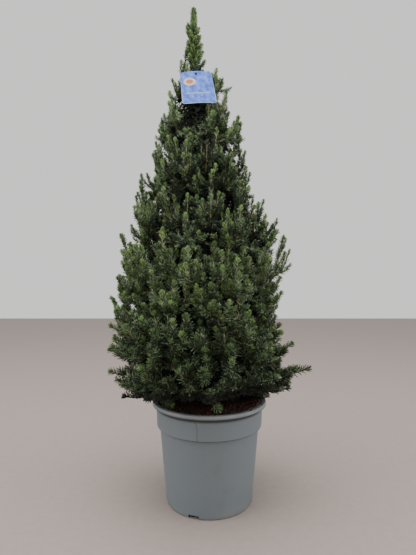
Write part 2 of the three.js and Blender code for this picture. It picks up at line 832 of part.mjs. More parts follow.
function massSolid(space, hung) {
  const line = stemLine(space, hung);
  const start = line.joint.clone();
  if (hung) {
    start.addScaledVector(line.middle.clone().sub(line.joint).normalize(), GAP);
  }
  const stem = rodGeometry(new THREE.LineCurve3(start, line.middle), () => STEM.radius, STEM.sides, 1);
  const inRoom = (point) => inCoreRoom(space, hung, point);
  const twigs = twigsOf(space, line.middle, inRoom);
  const core = toSolid(tuftedCore(space, hung, line.middle, twigs));
  const mass = spraysOf(space, twigs).reduce((joined, spray) => joined.add(toSolid(spray)), core);
  return largestBody(mass.add(toSolid(stem)).subtract(trunkRoom));
}

function boughSolid(space) {
  const line = stemLine(space, true);
  const root = trunkRadius(line.trunk.z) * BOUGH.rootShare;
  const radiusAt = (share) => mix(root, BOUGH.tipRadius, share);
  const axis = new THREE.LineCurve3(line.trunk, line.joint);
  return largestBody(toSolid(rodGeometry(axis, radiusAt, BOUGH.sides, BOUGH.steps)).subtract(trunkRoom));
}

TIERS.forEach((tier, level) => {
  for (let number = 0; number < tier.masses; number += 1) {
    const space = spaceOf(level, number);
    const label = `${level + 1}_${number + 1}`;
    if (tier.boughs) {
      addPart(`bough_${label}`, toGeometry(boughSolid(space)), FINISH.bark);
    }
    const finish = (level + number) % 2 ? FINISH.needles : FINISH.youngNeedles;
    addPart(`foliage_${label}`, toGeometry(massSolid(space, tier.boughs)), finish);
  }
});

// Leader: a sleeve of sprays round the top of the trunk, with one upright spray at the tip

function leaderCurve(count) {
  const height = mix(LEADER.lowest, LEADER.highest, (count + 0.5) / LEADER.sprays);
  const bearing = LEADER.firstBearing + count * LEADER.turn;
  const tip = crownPoint(reachAt(height, bearing), bearing, height);
  const way = growth(CONES.length - 1, bearing, LEADER.rise - CONES.at(-1).rise);
  const root = crownPoint(0, 0, height - LEADER.length * Math.sin(LEADER.rise * DEGREE));
  const turn = tip.clone().addScaledVector(way, -LEADER.length * LEADER.bend);
  return new THREE.QuadraticBezierCurve3(root, turn, tip);
}

function leaderSolid() {
  const size = sizedSpray(0);
  const sleeveRadius = (share) => mix(LEADER.radius, LEADER.radius / 2, share);
  const sleeve = rodGeometry(trunkAxis(LEADER.bottom, LEADER.top), sleeveRadius, LEADER.sides, 2);
  const { foot } = CONES.at(-1);
  const rise = CONES.at(-1).rise * DEGREE;
  const holds = (point) => point.z > LEADER.bottom
    && (point.z - foot) * Math.cos(rise) - placeOf(point).radius * Math.sin(rise) > SPRAY.margin;
  const topSize = { ...size, steps: LEADER.topSteps };
  const topAxis = trunkAxis(LEADER.topRoot, LEADER.topEnd);
  let leader = toSolid(sleeve).add(toSolid(sprayGeometry(topAxis, SPRAY.barest, topSize, holds)));
  for (let count = 0; count < LEADER.sprays; count += 1) {
    leader = leader.add(toSolid(sprayGeometry(leaderCurve(count), LEADER.bare, size, holds)));
  }
  return largestBody(leader.subtract(trunkRoom));
}

addPart('foliage_leader', toGeometry(leaderSolid()), FINISH.youngNeedles);

export default plant;
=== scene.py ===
"""The looks of a dwarf conifer in a nursery pot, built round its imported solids.

Sizes are millimetres, angles are degrees, and MM turns a size into Blender's metres. The crown is
grown by the same rule as the solids: an outline round a leaning axis, cones and sectors that divide
it into masses, and twigs that end on the outline. Here each mass is carried on to finer twigs.
"""

import logging
import math
from collections.abc import Sequence
from dataclasses import astuple, dataclass, field, replace
from enum import Enum
from typing import Union

import bpy
import numpy as np
from numpy.typing import NDArray
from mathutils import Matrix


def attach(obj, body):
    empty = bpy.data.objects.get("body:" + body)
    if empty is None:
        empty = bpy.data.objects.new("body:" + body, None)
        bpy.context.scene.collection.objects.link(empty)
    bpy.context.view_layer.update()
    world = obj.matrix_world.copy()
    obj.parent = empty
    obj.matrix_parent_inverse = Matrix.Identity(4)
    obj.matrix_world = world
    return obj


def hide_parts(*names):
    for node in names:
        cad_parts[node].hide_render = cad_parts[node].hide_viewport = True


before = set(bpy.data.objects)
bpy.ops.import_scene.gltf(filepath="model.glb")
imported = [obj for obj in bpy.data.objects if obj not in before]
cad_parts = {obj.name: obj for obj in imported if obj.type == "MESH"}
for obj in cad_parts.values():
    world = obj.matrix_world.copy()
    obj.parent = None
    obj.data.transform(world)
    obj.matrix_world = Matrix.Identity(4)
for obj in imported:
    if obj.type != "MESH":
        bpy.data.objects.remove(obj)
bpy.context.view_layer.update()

Array = NDArray[np.float64]
Whole = NDArray[np.int64]
Colour = tuple[float, float, float]
Place = tuple[float, float, float]
Span = tuple[float, float]
Shape = tuple[Array, list[Whole]]
Socket = bpy.types.NodeSocket
Material = bpy.types.Material

MM = 0.001
UP = np.array([0.0, 0.0, 1.0])
GOLDEN_TURN = 137.508
BODY = "root"
log = logging.getLogger("conifer")


# Numbers and directions


def shake(a: Array, b: Array, c: Array) -> Array:
    """A repeatable number from 0 to 1 for three numbers or arrays: the fraction of a large sine."""
    wave = np.sin(a * 12.9898 + b * 78.233 + c * 37.719) * 43758.5453
    return wave - np.floor(wave)


def spread(count: Array) -> tuple[Array, Array]:
    """Evenly spread pairs from 0 to 1: the fractions of 1/2 plus count times two fixed steps."""
    return (0.5 + count * 0.7548776662466927) % 1, (0.5 + count * 0.5698402909980532) % 1


def mix(a: Array, b: Array, share: Array) -> Array:
    """The value that lies a share of the way from a to b."""
    return a + (b - a) * share


def unit(vectors: Array) -> Array:
    """Vectors of length one along the last axis."""
    return vectors / np.maximum(np.linalg.norm(vectors, axis=-1, keepdims=True), 1e-9)


def bearings(angle: Array) -> Array:
    """Level vectors that point along bearings given in degrees."""
    turn = np.radians(angle)
    return np.stack([np.cos(turn), np.sin(turn), np.zeros_like(turn)], axis=-1)


def bearings_of(points: Array) -> Array:
    """Level unit vectors from the origin's axis towards points."""
    return unit(points * np.array([1.0, 1.0, 0.0]))


def side_vectors(along: Array) -> tuple[Array, Array]:
    """Two unit vectors square to each direction and to each other.

    Args:
        along: Unit vectors.

    Returns:
        The sideways and the third vector of each.
    """
    steep = np.abs(along[..., 2:]) > 0.92
    across = unit(np.cross(np.where(steep, np.array([0.0, 1.0, 0.0]), UP), along))
    return across, np.cross(along, across)


def turned(a: Array, b: Array, angle: Array) -> tuple[Array, Array]:
    """Two coordinates turned by an angle in radians: a cos - b sin, and a sin + b cos."""
    c, s = np.cos(angle), np.sin(angle)
    return a * c - b * s, a * s + b * c


def slanted(bearing: Array, rise: Array) -> Array:
    """Unit vectors that point along bearings and climb by a rise, all in degrees."""
    climb = np.radians(np.asarray(rise, dtype=float))[..., None]
    return bearings(bearing) * np.cos(climb) + UP * np.sin(climb)


def from_axis(points: Array) -> Array:
    """Distance of points from the upright axis through the origin, and never less than 1."""
    return np.maximum(np.hypot(points[..., 0], points[..., 1]), 1.0)


def nearest(points: Array, among: Array) -> Whole:
    """For each point, the number of the nearest among others."""
    return np.argmin(np.linalg.norm(points[:, None] - among[None], axis=-1), axis=1)


# Meshes


def make_piece(name: str, points: Array, faces: Sequence[Whole], material: Material,
               smooth: bool = False) -> bpy.types.Object:
    """A mesh object at the origin from whole arrays.

    Args:
        name: The piece's name.
        points: Places in millimetres, one row each.
        faces: Arrays of corner numbers, each with one face a row.
        material: The piece's material.
        smooth: Whether faces are shaded smooth.

    Returns:
        The new object, linked to the scene.
    """
    mesh = bpy.data.meshes.new(name)
    counts = np.concatenate([np.full(len(part), part.shape[1]) for part in faces])
    corners = np.concatenate([part.ravel() for part in faces])
    mesh.vertices.add(len(points))
    mesh.vertices.foreach_set("co", (points * MM).astype(np.float32).ravel())
    mesh.loops.add(len(corners))
    mesh.loops.foreach_set("vertex_index", corners.astype(np.int32))
    mesh.polygons.add(len(counts))
    mesh.polygons.foreach_set("loop_start", (np.cumsum(counts) - counts).astype(np.int32))
    mesh.polygons.foreach_set("use_smooth", np.full(len(counts), smooth))
    mesh.update(calc_edges=True)
    mesh.materials.append(material)
    piece = bpy.data.objects.new(name, mesh)
    bpy.context.scene.collection.objects.link(piece)
    return piece


def settle(piece: bpy.types.Object, slot: str, *nodes: str) -> None:
    """Lets a piece ride on the plant's body, hides the solids that it stands for and reports it.

    Args:
        piece: The finished piece.
        slot: Not used.
        nodes: Solids that the piece stands for.
    """
    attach(piece, BODY)
    if nodes:
        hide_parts(*nodes)
    triangles = sum(len(polygon.vertices) - 2 for polygon in piece.data.polygons)
    log.info("%s: %d triangles", piece.name, triangles)


def grid_faces(rows: int, columns: int, closed: bool = True) -> Whole:
    """Four-cornered faces of a grid whose points are numbered row by row.

    Args:
        rows: Number of rows of points.
        columns: Number of points in a row.
        closed: Whether each row closes on itself.

    Returns:
        One face a row, its corners in order.
    """
    row = np.arange(rows - 1)[:, None] * columns
    column = np.arange(columns if closed else columns - 1)[None, :]
    over, right = row + columns, (column + 1) % columns
    return np.stack([row + column, row + right, over + right, over + column], axis=-1).reshape(-1, 4)


def copies(faces: Whole, count: int, corners: int) -> Whole:
    """The faces of one shape repeated for a count of copies, each with its own corners."""
    start = (np.arange(count) * corners)[:, None, None]
    return (faces[None] + start).reshape(-1, faces.shape[1])


def fan_faces(rim: Whole, pole: int) -> Whole:
    """Triangles from a closed rim of points to one pole."""
    return np.stack([rim, np.roll(rim, -1), np.full(len(rim), pole)], axis=-1)


def revolve(profile: Array, sides: int) -> Shape:
    """A closed round body: every profile point (r, z) goes to (r cos a, r sin a, z) for each angle a.

    Args:
        profile: Radius and height of each point, from the foot's middle round to the top's middle.
        sides: Number of steps round.

    Returns:
        Points and faces. The first and last profile points become poles.
    """
    angle = np.linspace(0.0, 2 * math.pi, sides, endpoint=False)
    radius, height = profile[1:-1, 0][:, None], profile[1:-1, 1][:, None]
    rings = np.stack([radius * np.cos(angle), radius * np.sin(angle), height + 0 * angle], axis=-1)
    poles = np.array([[0.0, 0.0, profile[0, 1]], [0.0, 0.0, profile[-1, 1]]])
    points = np.concatenate([rings.reshape(-1, 3), poles])
    rows = len(profile) - 2
    foot = np.arange(sides)
    top = foot + (rows - 1) * sides
    faces = [grid_faces(rows, sides), fan_faces(foot[::-1], rows * sides), fan_faces(top, rows * sides + 1)]
    return points, faces


def tubes(centres: Array, radii: Array, sides: int) -> Shape:
    """Many closed rods at once: each point of a rod is its centre plus its radius times a turning side.

    Args:
        centres: Centre lines, as rods by rings by three.
        radii: Radius at each ring, as rods by rings, or rods by rings by sides.
        sides: Number of corners round each ring.

    Returns:
        Points and faces, with a flat face at each end.
    """
    rods, rings = centres.shape[:2]
    along = unit(np.gradient(centres, axis=1))
    chord = unit(centres[:, -1] - centres[:, 0])[:, None]
    across, _ = side_vectors(np.broadcast_to(chord, along.shape))
    across = unit(across - along * np.sum(across * along, axis=-1, keepdims=True))
    third = np.cross(along, across)
    angle = np.linspace(0.0, 2 * math.pi, sides, endpoint=False)[:, None]
    around = across[:, :, None] * np.cos(angle) + third[:, :, None] * np.sin(angle)
    reach = radii[..., None, None] if radii.ndim == 2 else radii[..., None]
    points = (centres[:, :, None] + around * reach).reshape(-1, 3)
    rim = np.arange(sides)[None]
    parts = (grid_faces(rings, sides), rim[:, ::-1], rim + (rings - 1) * sides)
    return points, [copies(part, rods, rings * sides) for part in parts]


# Shader expressions


Number = Union["Field", float]


class Field:
    """A number that changes over a surface. Arithmetic on it adds Math nodes to its shader."""

    def __init__(self, shader: "Shader", socket: Socket) -> None:
        """Wraps a socket of a shader's tree."""
        self.shader = shader
        self.socket = socket

    def _math(self, operation: str, *values: Number) -> "Field":
        """The result of one Math node, for an operation by Blender's name and its values in order."""
        node = self.shader.node("ShaderNodeMath", {"operation": operation}, dict(enumerate(values)))
        return Field(self.shader, node.outputs[0])

    def __add__(self, other: Number) -> "Field":
        """This plus other."""
        return self._math("ADD", self, other)

    __radd__ = __add__

    def __sub__(self, other: Number) -> "Field":
        """This less other."""
        return self._math("SUBTRACT", self, other)

    def __rsub__(self, other: float) -> "Field":
        """Other less this."""
        return self._math("SUBTRACT", other, self)

    def __mul__(self, other: Number) -> "Field":
        """This times other."""
        return self._math("MULTIPLY", self, other)

    __rmul__ = __mul__

    def __truediv__(self, other: Number) -> "Field":
        """This divided by other."""
        return self._math("DIVIDE", self, other)

    def __pow__(self, other: float) -> "Field":
        """This to a power."""
        return self._math("POWER", self, other)

    def __abs__(self) -> "Field":
        """The size of this, whatever its sign."""
        return self._math("ABSOLUTE", self)

    def least(self, other: Number) -> "Field":
        """The lower of this and other."""
        return self._math("MINIMUM", self, other)

    def most(self, other: Number) -> "Field":
        """The higher of this and other."""
        return self._math("MAXIMUM", self, other)

    def rise(self, low: float, high: float) -> "Field":
        """A smooth step from 0 at low to 1 at high. High may be the lower number.

        Args:
            low: Where the step starts.
            high: Where it ends.

        Returns:
            The stepped field.
        """
        settings = {"interpolation_type": "SMOOTHSTEP"}
        limits = {"Value": self, "From Min": min(low, high), "From Max": max(low, high)}
        step = Field(self.shader, self.shader.node("ShaderNodeMapRange", settings, limits).outputs[0])
        return step if low < high else 1 - step


class Shader:
    """One material's node tree, with the Principled shader that its sockets feed."""

    def __init__(self, name: str) -> None:
        """Makes the material.

        Args:
            name: The material's name.
        """
        self.material = bpy.data.materials.new(name)
        self.material.use_nodes = True
        self.tree = self.material.node_tree
        self.principled = self.tree.nodes["Principled BSDF"]
        self.coordinates = self.tree.nodes.new("ShaderNodeTexCoord")

    def node(self, kind: str, settings: dict[str, object] | None = None,
             inputs: dict[str | int, object] | None = None) -> bpy.types.Node:
        """Adds a node, sets it and feeds it.

        Args:
            kind: Blender's type of node.
            settings: Properties of the node, set first.
            inputs: Values or links by the socket's name or number.

        Returns:
            The new node.
        """
        made = self.tree.nodes.new(kind)
        for key, value in (settings or {}).items():
            setattr(made, key, value)
        for key, value in (inputs or {}).items():
            self.feed(made.inputs[key], value)
        return made

    def feed(self, socket: Socket, value: object) -> None:
        """Sets a socket to a constant, or links it to a field or another socket.

        Args:
            socket: The socket.
            value: What it gets. A colour gets its fourth number here.
        """
        if isinstance(value, Field):
            value = value.socket
        if isinstance(value, Socket):
            self.tree.links.new(value, socket)
        else:
            socket.default_value = (*value, 1.0) if socket.type == "RGBA" else value

    def place(self, stretch: Place = (1.0, 1.0, 1.0)) -> Socket:
        """Object coordinates in metres, stretched by a scale on each axis."""
        inputs = {"Vector": self.coordinates.outputs["Object"], "Scale": stretch}
        return self.node("ShaderNodeMapping", None, inputs).outputs[0]

    def axes(self, vector: Socket) -> tuple[Field, Field, Field]:
        """The three numbers of a vector."""
        parts = self.node("ShaderNodeSeparateXYZ", None, {0: vector}).outputs
        return Field(self, parts[0]), Field(self, parts[1]), Field(self, parts[2])

    def noise(self, scale: float, detail: float, at: Socket | None = None) -> Field:
        """Noise from about 0.2 to 0.8. Scale is clouds a metre, detail finer layers, at its place."""
        inputs = {"Vector": at or self.place(), "Scale": scale, "Detail": detail}
        return Field(self, self.node("ShaderNodeTexNoise", None, inputs).outputs[0])

    def blend(self, share: Number, first: object, second: object) -> Socket:
        """A colour a share of the way from the first colour, or colour socket, to the second."""
        inputs = {0: share, 6: first, 7: second}
        return self.node("ShaderNodeMix", {"data_type": "RGBA"}, inputs).outputs[2]

    def bump(self, height: Field, distance: float) -> Socket:
        """A normal that leans as a height would make it, at full strength over a distance in metres."""
        inputs = {"Height": height, "Distance": distance, "Strength": 1.0}
        return self.node("ShaderNodeBump", None, inputs).outputs[0]

    def dress(self, **sockets: object) -> Material:
        """Feeds the Principled shader, with underscores for spaces in its sockets' names.

        Args:
            sockets: A value, field or socket for each.

        Returns:
            The finished material.
        """
        for name, value in sockets.items():
            self.feed(self.principled.inputs[name.replace("_", " ")], value)
        return self.material


# Finishes


@dataclass(frozen=True)
class NeedleFinish:
    """Living needles: one plain green, a little lighter and darker from needle to needle."""

    name: str
    colour: Colour
    roughness: float = 0.55
    drift: float = 0.42
    root_width: float = 2.1
    tip_width: float = 1.4
    grain: float = 260.0

    def material(self) -> Material:
        """The green with its drift of tone and a waxy sheen.

        Returns:
            The material.
        """
        shader = Shader(self.name)
        darker = tuple(part * (1 - self.drift) for part in self.colour)
        lighter = tuple(min(1.0, part * (1 + self.drift)) for part in self.colour)
        tone = (shader.noise(38.0, 2.0) * 0.25 + shader.noise(self.grain, 2.0) * 0.75).rise(0.38, 0.62)
        return shader.dress(
            Base_Color=shader.blend(tone, darker, lighter),
            Roughness=self.roughness,
            Specular_IOR_Level=0.5,
        )


class Green(Enum):
    """The greens that sprays are dealt, from the crown's inside to the young tips; the two darkest also serve
    as painted shade.
    """

    # Near-black: old needles inside the crown, darkened further as painted shade of the inside; also dealt as
    # painted shade under the crown's lowest edge.
    INNER = NeedleFinish("needles_inner_shaded", (0.011, 0.013, 0.008), 0.85, 0.2, 3.2, 2.2)
    # Dark older needles; also dealt as painted shade on undersides, on side shoots and under the crown.
    DEEP = NeedleFinish("needles_deep", (0.022, 0.038, 0.015), 0.55)
    MATURE = NeedleFinish("needles_mature", (0.085, 0.146, 0.049), 0.5)
    GREY = NeedleFinish("needles_grey", (0.174, 0.245, 0.128), 0.5)
    YOUNG = NeedleFinish("needles_young", (0.137, 0.228, 0.066), 0.45, 0.35, 1.9, 1.5)
    FRESH = NeedleFinish("needles_fresh", (0.212, 0.332, 0.101), 0.45, 0.40, 1.8, 1.4)

    @property
    def number(self) -> int:
        """Its place in the list."""
        return list(Green).index(self)


@dataclass(frozen=True)
class BarkFinish:
    """Thin flaky bark: grey-brown scales with darker cracks."""

    name: str
    colour: Colour
    crack: Colour
    scale: float = 160.0

    def material(self) -> Material:
        """Bark whose cracks run along the limb more than round it.

        Returns:
            The material.
        """
        shader = Shader(self.name)
        at = shader.place((1.0, 1.0, 0.45))
        scales = shader.noise(self.scale, 4.0, at).rise(0.36, 0.62)
        flecks = shader.noise(self.scale * 4, 2.0, at)
        return shader.dress(
            Base_Color=shader.blend(scales * 0.8 + flecks * 0.2, self.crack, self.colour),
            Roughness=0.9,
            Normal=shader.bump(scales + flecks * 0.4, 0.0006),
        )


@dataclass(frozen=True)
class PotFinish:
    """Moulded recycled plastic: satin bluish grey, dusty near the foot, painted shade under lip and step, a
    painted highlight on the lip's top.
    """

    colour: Colour = (0.152, 0.180, 0.196)
    dust: Colour = (0.222, 0.216, 0.202)
    # Grime, and the colour of the painted shade under the lip and at the step.
    grime_and_shade: Colour = (0.034, 0.037, 0.037)
    # The colour of the painted highlight on the lip's top.
    rim: Colour = (0.265, 0.283, 0.288)
    foot_height: float = 0.03
    # Heights of the painted shade: dark lines under the lip and at the step, and a darker band below the lip.
    lip_height: float = 0.2195
    step_height: float = 0.1712
    shaded_from: float = 0.2085
    shaded_to: float = 0.2160
    line_half: float = 0.0011
    seam_side: float = -0.0252
    seam_bend: float = 0.198
    seam_lean: float = -0.30

    def material(self) -> Material:
        """Plastic with a fine grain, streaks, dust and grime, a painted highlight on the lip, painted shade
        in its corners and a mould seam.

        Returns:
            The material.
        """
        shader = Shader("pot_plastic")
        side, depth, height = shader.axes(shader.place())
        clouds = shader.noise(14.0, 4.0)
        streaks = shader.noise(30.0, 3.0, shader.place((1.0, 1.0, 0.12)))
        grain = shader.noise(1400.0, 2.0)
        scuffs = shader.noise(90.0, 5.0, shader.place((1.0, 1.0, 2.5))).rise(0.66, 0.74)
        low = height.rise(self.foot_height, 0.0)
        dusty = (low * clouds.rise(0.35, 0.6) * 0.45 + streaks.rise(0.5, 0.75) * 0.12).least(1.0)
        # Painted shade: dark lines at the step and at the lip's underside, and a band that darkens up to the
        # lip.
        at_step = abs(height - self.step_height).rise(self.line_half * 2.0, self.line_half * 0.7)
        at_lip = abs(height - self.lip_height).rise(self.line_half * 2.2, self.line_half * 0.5)
        under_lip = height.rise(self.lip_height + 0.001, self.lip_height)
        shaded = height.rise(self.shaded_from, self.shaded_to) * under_lip
        painted_shade = at_step + at_lip * 0.6 + shaded * 1.3
        line = (height - self.seam_bend).most(0.0) * self.seam_lean + self.seam_side
        on_collar = height.rise(self.step_height, self.step_height + 0.001) * height.rise(0.225, 0.221)
        seam = abs(side - line).rise(0.0011, 0.0004) * on_collar * depth.rise(0.01, -0.01)
        # Painted highlight: the lip's top is lighter, unevenly along the streaks.
        painted_lip_highlight = height.rise(0.2215, 0.2245) * (0.55 + streaks.rise(0.4, 0.6) * 0.45)
        grimy_and_shaded = clouds.rise(0.58, 0.72) * 0.10 + scuffs * 0.12 + painted_shade + seam * 0.5
        dusted_and_highlit = shader.blend(painted_lip_highlight * 0.8, shader.blend(dusty, self.colour, self.dust), self.rim)
        return shader.dress(
            Base_Color=shader.blend(grimy_and_shaded.least(1.0), dusted_and_highlit, self.grime_and_shade),
            Roughness=0.58 + dusty * 0.25 + clouds * 0.08,
            Normal=shader.bump(grain * 0.4 + streaks * 0.6 - seam * 1.5, 0.00012),
        )


@dataclass(frozen=True)
class CompostFinish:
    """Moist bark and peat: dark red-brown, with painted shade that makes it almost black in the hollows."""

    name: str = "compost"
    wet_and_shaded: Colour = (0.010, 0.006, 0.004)
    dry: Colour = (0.145, 0.060, 0.036)

    def material(self) -> Material:
        """Crumbs of uneven tone, darker where the bump is low as painted shade, with a rough broken surface.

        Returns:
            The material.
        """
        shader = Shader(self.name)
        crumbs = shader.noise(260.0, 5.0)
        # Painted shade: the colour darkens with the same noise that lowers the bump, so the hollows are dark.
        return shader.dress(
            Base_Color=shader.blend(crumbs.rise(0.42, 0.68), self.wet_and_shaded, self.dry),
            Roughness=0.92,
            Normal=shader.bump(crumbs, 0.003),
        )


@dataclass(frozen=True)
class CardFinish:
    """A printed plastic card: a mottled blue field with a thin pale edge, an oval and a stripe."""

    field: Colour = (0.032, 0.098, 0.500)
    cloud: Colour = (0.150, 0.295, 0.900)
    edge: Colour = (0.360, 0.450, 0.700)
    cream: Colour = (0.620, 0.540, 0.370)
    salmon: Colour = (0.480, 0.150, 0.080)
    rim: float = 0.9
    oval_place: Span = (-16.0, -28.0)
    oval_size: Span = (13.0, 9.5)
    stripe_height: float = -58.0
    stripe_width: float = 3.0

    def material(self, width: float, height: float) -> Material:
        """The print, laid out on the card's own UV map, which holds shares of its width and height.

        Args:
            width: The card's width.
            height: The card's height.

        Returns:
            The material.
        """
        shader = Shader("tag_card")
        flat = shader.node("ShaderNodeUVMap", {"uv_map": "card"}).outputs[0]
        u, v, _ = shader.axes(flat)
        x, y = (u - 0.5) * width, (v - 1) * height
        clouds = shader.noise(7.0, 5.0, flat)
        motes = shader.noise(46.0, 3.0, flat)
        print_colour = shader.blend((clouds * 0.7 + motes * 0.3).rise(0.36, 0.66), self.field, self.cloud)
        (oval_x, oval_y), (half_x, half_y) = self.oval_place, self.oval_size
        far = ((x - oval_x) / half_x) ** 2 + ((y - oval_y) / half_y) ** 2
        print_colour = shader.blend(far.rise(1.15, 0.95), print_colour, self.cream)
        print_colour = shader.blend(far.rise(0.42, 0.30), print_colour, self.salmon)
        from_stripe = abs(y - self.stripe_height)
        in_stripe = from_stripe.rise(self.stripe_width * 0.5 + 0.3, self.stripe_width * 0.5)
        in_stripe = in_stripe * abs(x).rise(width * 0.34, width * 0.33)
        print_colour = shader.blend(in_stripe * 0.7, print_colour, self.edge)
        from_side = (width / 2 - abs(x)).least(y + height)
        return shader.dress(
            Base_Color=shader.blend(from_side.rise(self.rim + 0.3, self.rim), print_colour, self.edge),
            Roughness=0.42 + motes * 0.1,
            Specular_IOR_Level=0.3,
        )


@dataclass(frozen=True)
class PlainFinish:
    """A plain moulded or cut surface with a slight drift of tone and a fine grain."""

    name: str
    colour: Colour
    roughness: float = 0.6
    grain: float = 500.0
    depth: float = 0.0001

    def material(self) -> Material:
        """The colour, a little uneven.

        Returns:
            The material.
        """
        shader = Shader(self.name)
        tone = shader.noise(self.grain, 3.0)
        darker = tuple(part * 0.85 for part in self.colour)
        return shader.dress(
            Base_Color=shader.blend(tone, darker, self.colour),
            Roughness=self.roughness,
            Normal=shader.bump(tone, self.depth),
        )


# The crown's rule, as the solids have it


@dataclass(frozen=True)
class Mass:
    """One mass of foliage: its tier and number, the middle and width of its sector, and if it hangs."""

    tier: int
    number: int
    middle: float
    wide: float
    hung: bool

    @property
    def label(self) -> str:
        """The end of its node's name."""
        return f"{self.tier + 1}_{self.number + 1}"


@dataclass(frozen=True)
class CrownRule:
    """Outline, cones and sectors of the crown, in the values of the solids."""

    soil: float = 224.0
    top: float = 1125.0
    lean: float = -33.0
    heights: tuple[float, ...] = (226, 265, 320, 410, 480, 590, 680, 780, 875, 970, 1010, 1075, 1100, 1127)
    left: tuple[float, ...] = (150, 212, 222, 219, 199, 185, 158, 118, 92, 60, 28, 24, 7, 4)
    right: tuple[float, ...] = (128, 196, 213, 178, 180, 190, 142, 108, 98, 54, 29, 16, 7, 4)
    cone_feet: tuple[float, ...] = (232, 290, 370, 470, 580, 700, 830, 925)
    cone_rises: tuple[float, ...] = (0, 8, 22, 34, 44, 52, 60, 66)
    masses: tuple[int, ...] = (5, 5, 5, 4, 3, 3, 3)
    turns: tuple[float, ...] = (-126, -103, -132, -128, -150, -98, -65)
    spans: tuple[float, ...] = (360, 360, 360, 360, 360, 360, 310)
    hung_tiers: int = 5
    core_inner: float = 0.34
    core_inner_unhung: float = 0.14
    core_depth: float = 54.0
    core_least: float = 0.44
    stem_bare: float = 9.0
    steeper: float = 16.0
    steepest: float = 80.0
    bend: float = 0.6
    sag: float = 12.0
    tier_skip: int = 17
    mass_skip: int = 9
    long_shoots: tuple[tuple[int, float, float, float], ...] = ((0, -5.0, 300.0, 227.0),)

    def all_masses(self) -> list[Mass]:
        """Every mass, tier by tier from the lowest.

        Returns:
            The masses.
        """
        found = []
        for tier, (count, turn, span) in enumerate(zip(self.masses, self.turns, self.spans)):
            wide = span / count
            hung = tier < self.hung_tiers
            found += [Mass(tier, n, turn + (n + 0.5) * wide, wide, hung) for n in range(count)]
        return found

    def axis(self, height: Array) -> Array:
        """How far sideways the plant's axis stands at a height."""
        return self.lean * (height - self.soil) / (self.top - self.soil)

    def point(self, radius: Array, bearing: Array, height: Array) -> Array:
        """The places at a radius and bearing from the leaning axis."""
        on_axis = np.stack(np.broadcast_arrays(self.axis(height), 0.0, height), axis=-1)
        return bearings(bearing) * np.asarray(radius)[..., None] + on_axis

    def on_axis(self, height: Array) -> Array:
        """The places on the leaning axis at heights."""
        return self.point(0 * height, 0 * height, height)

    def reach(self, height: Array, bearing: Array) -> Array:
        """The outline's radius: left and right reach at the height, mixed by the bearing's cosine."""
        sides = (np.interp(height, self.heights, side) for side in (self.left, self.right))
        return mix(*sides, (1 + np.cos(np.radians(bearing))) / 2)

    def cone(self, level: Array) -> tuple[Array, Array]:
        """Height on the axis and rise of the cone with a number, which may lie between two."""
        numbers = np.arange(len(self.cone_feet))
        return np.interp(level, numbers, self.cone_feet), np.interp(level, numbers, self.cone_rises)

    def cone_height(self, level: Array, radius: Array) -> Array:
        """The height of a cone at a radius: its foot plus the radius times the tangent of its rise."""
        foot, rise = self.cone(level)
        return foot + radius * np.tan(np.radians(rise))

    def edge(self, level: Array, bearing: Array) -> Array:
        """The radius where a cone meets the outline, found by correcting it again and again.

        Args:
            level: The cone's number.
            bearing: Degrees from +X.

        Returns:
            The radius.
        """
        radius = np.zeros(np.broadcast(level, bearing).shape)
        for _ in range(40):
            radius = mix(radius, self.reach(self.cone_height(level, radius), bearing), 0.35)
        return radius

    def growth(self, level: Array, bearing: Array, steeper: float) -> Array:
        """The way a tip grows: outwards, along its cone's slope and somewhat steeper."""
        return slanted(bearing, np.minimum(self.cone(level)[1] + steeper, self.steepest))

    def core_span(self, reach: Array, hung: bool) -> tuple[Array, Array]:
        """Where the dense inside of a mass starts and ends along a reach."""
        inner = reach * (self.core_inner if hung else self.core_inner_unhung)
        return inner, np.maximum(reach - self.core_depth, reach * self.core_least)

    def stem(self, mass: Mass) -> Array:
        """Three points of a mass's limb: on the axis, at the bough's tip and at the stem's end.

        Args:
            mass: The mass.

        Returns:
            The points.
        """
        level = np.array(mass.tier + 0.5)
        inner, outer = self.core_span(self.edge(level, np.array(mass.middle)), mass.hung)
        radius = np.array([0.0, inner - self.stem_bare if mass.hung else 0.0, (inner + outer) / 2])
        bearing = np.full(3, mass.middle)
        return self.point(radius, bearing, self.cone_height(level, radius))

    def surface(self, mass: Mass) -> float:
        """The part of the crown's surface that a mass covers: its slant height by its mean width.

        Args:
            mass: The mass.

        Returns:
            The area in square millimetres.
        """
        levels = np.array([mass.tier, mass.tier + 1.0])
        radius = self.edge(levels, np.full(2, mass.middle))
        height = self.cone_height(levels, radius)
        across = radius.mean() * math.radians(mass.wide)
        return float(across * math.hypot(height[1] - height[0], radius[1] - radius[0]))


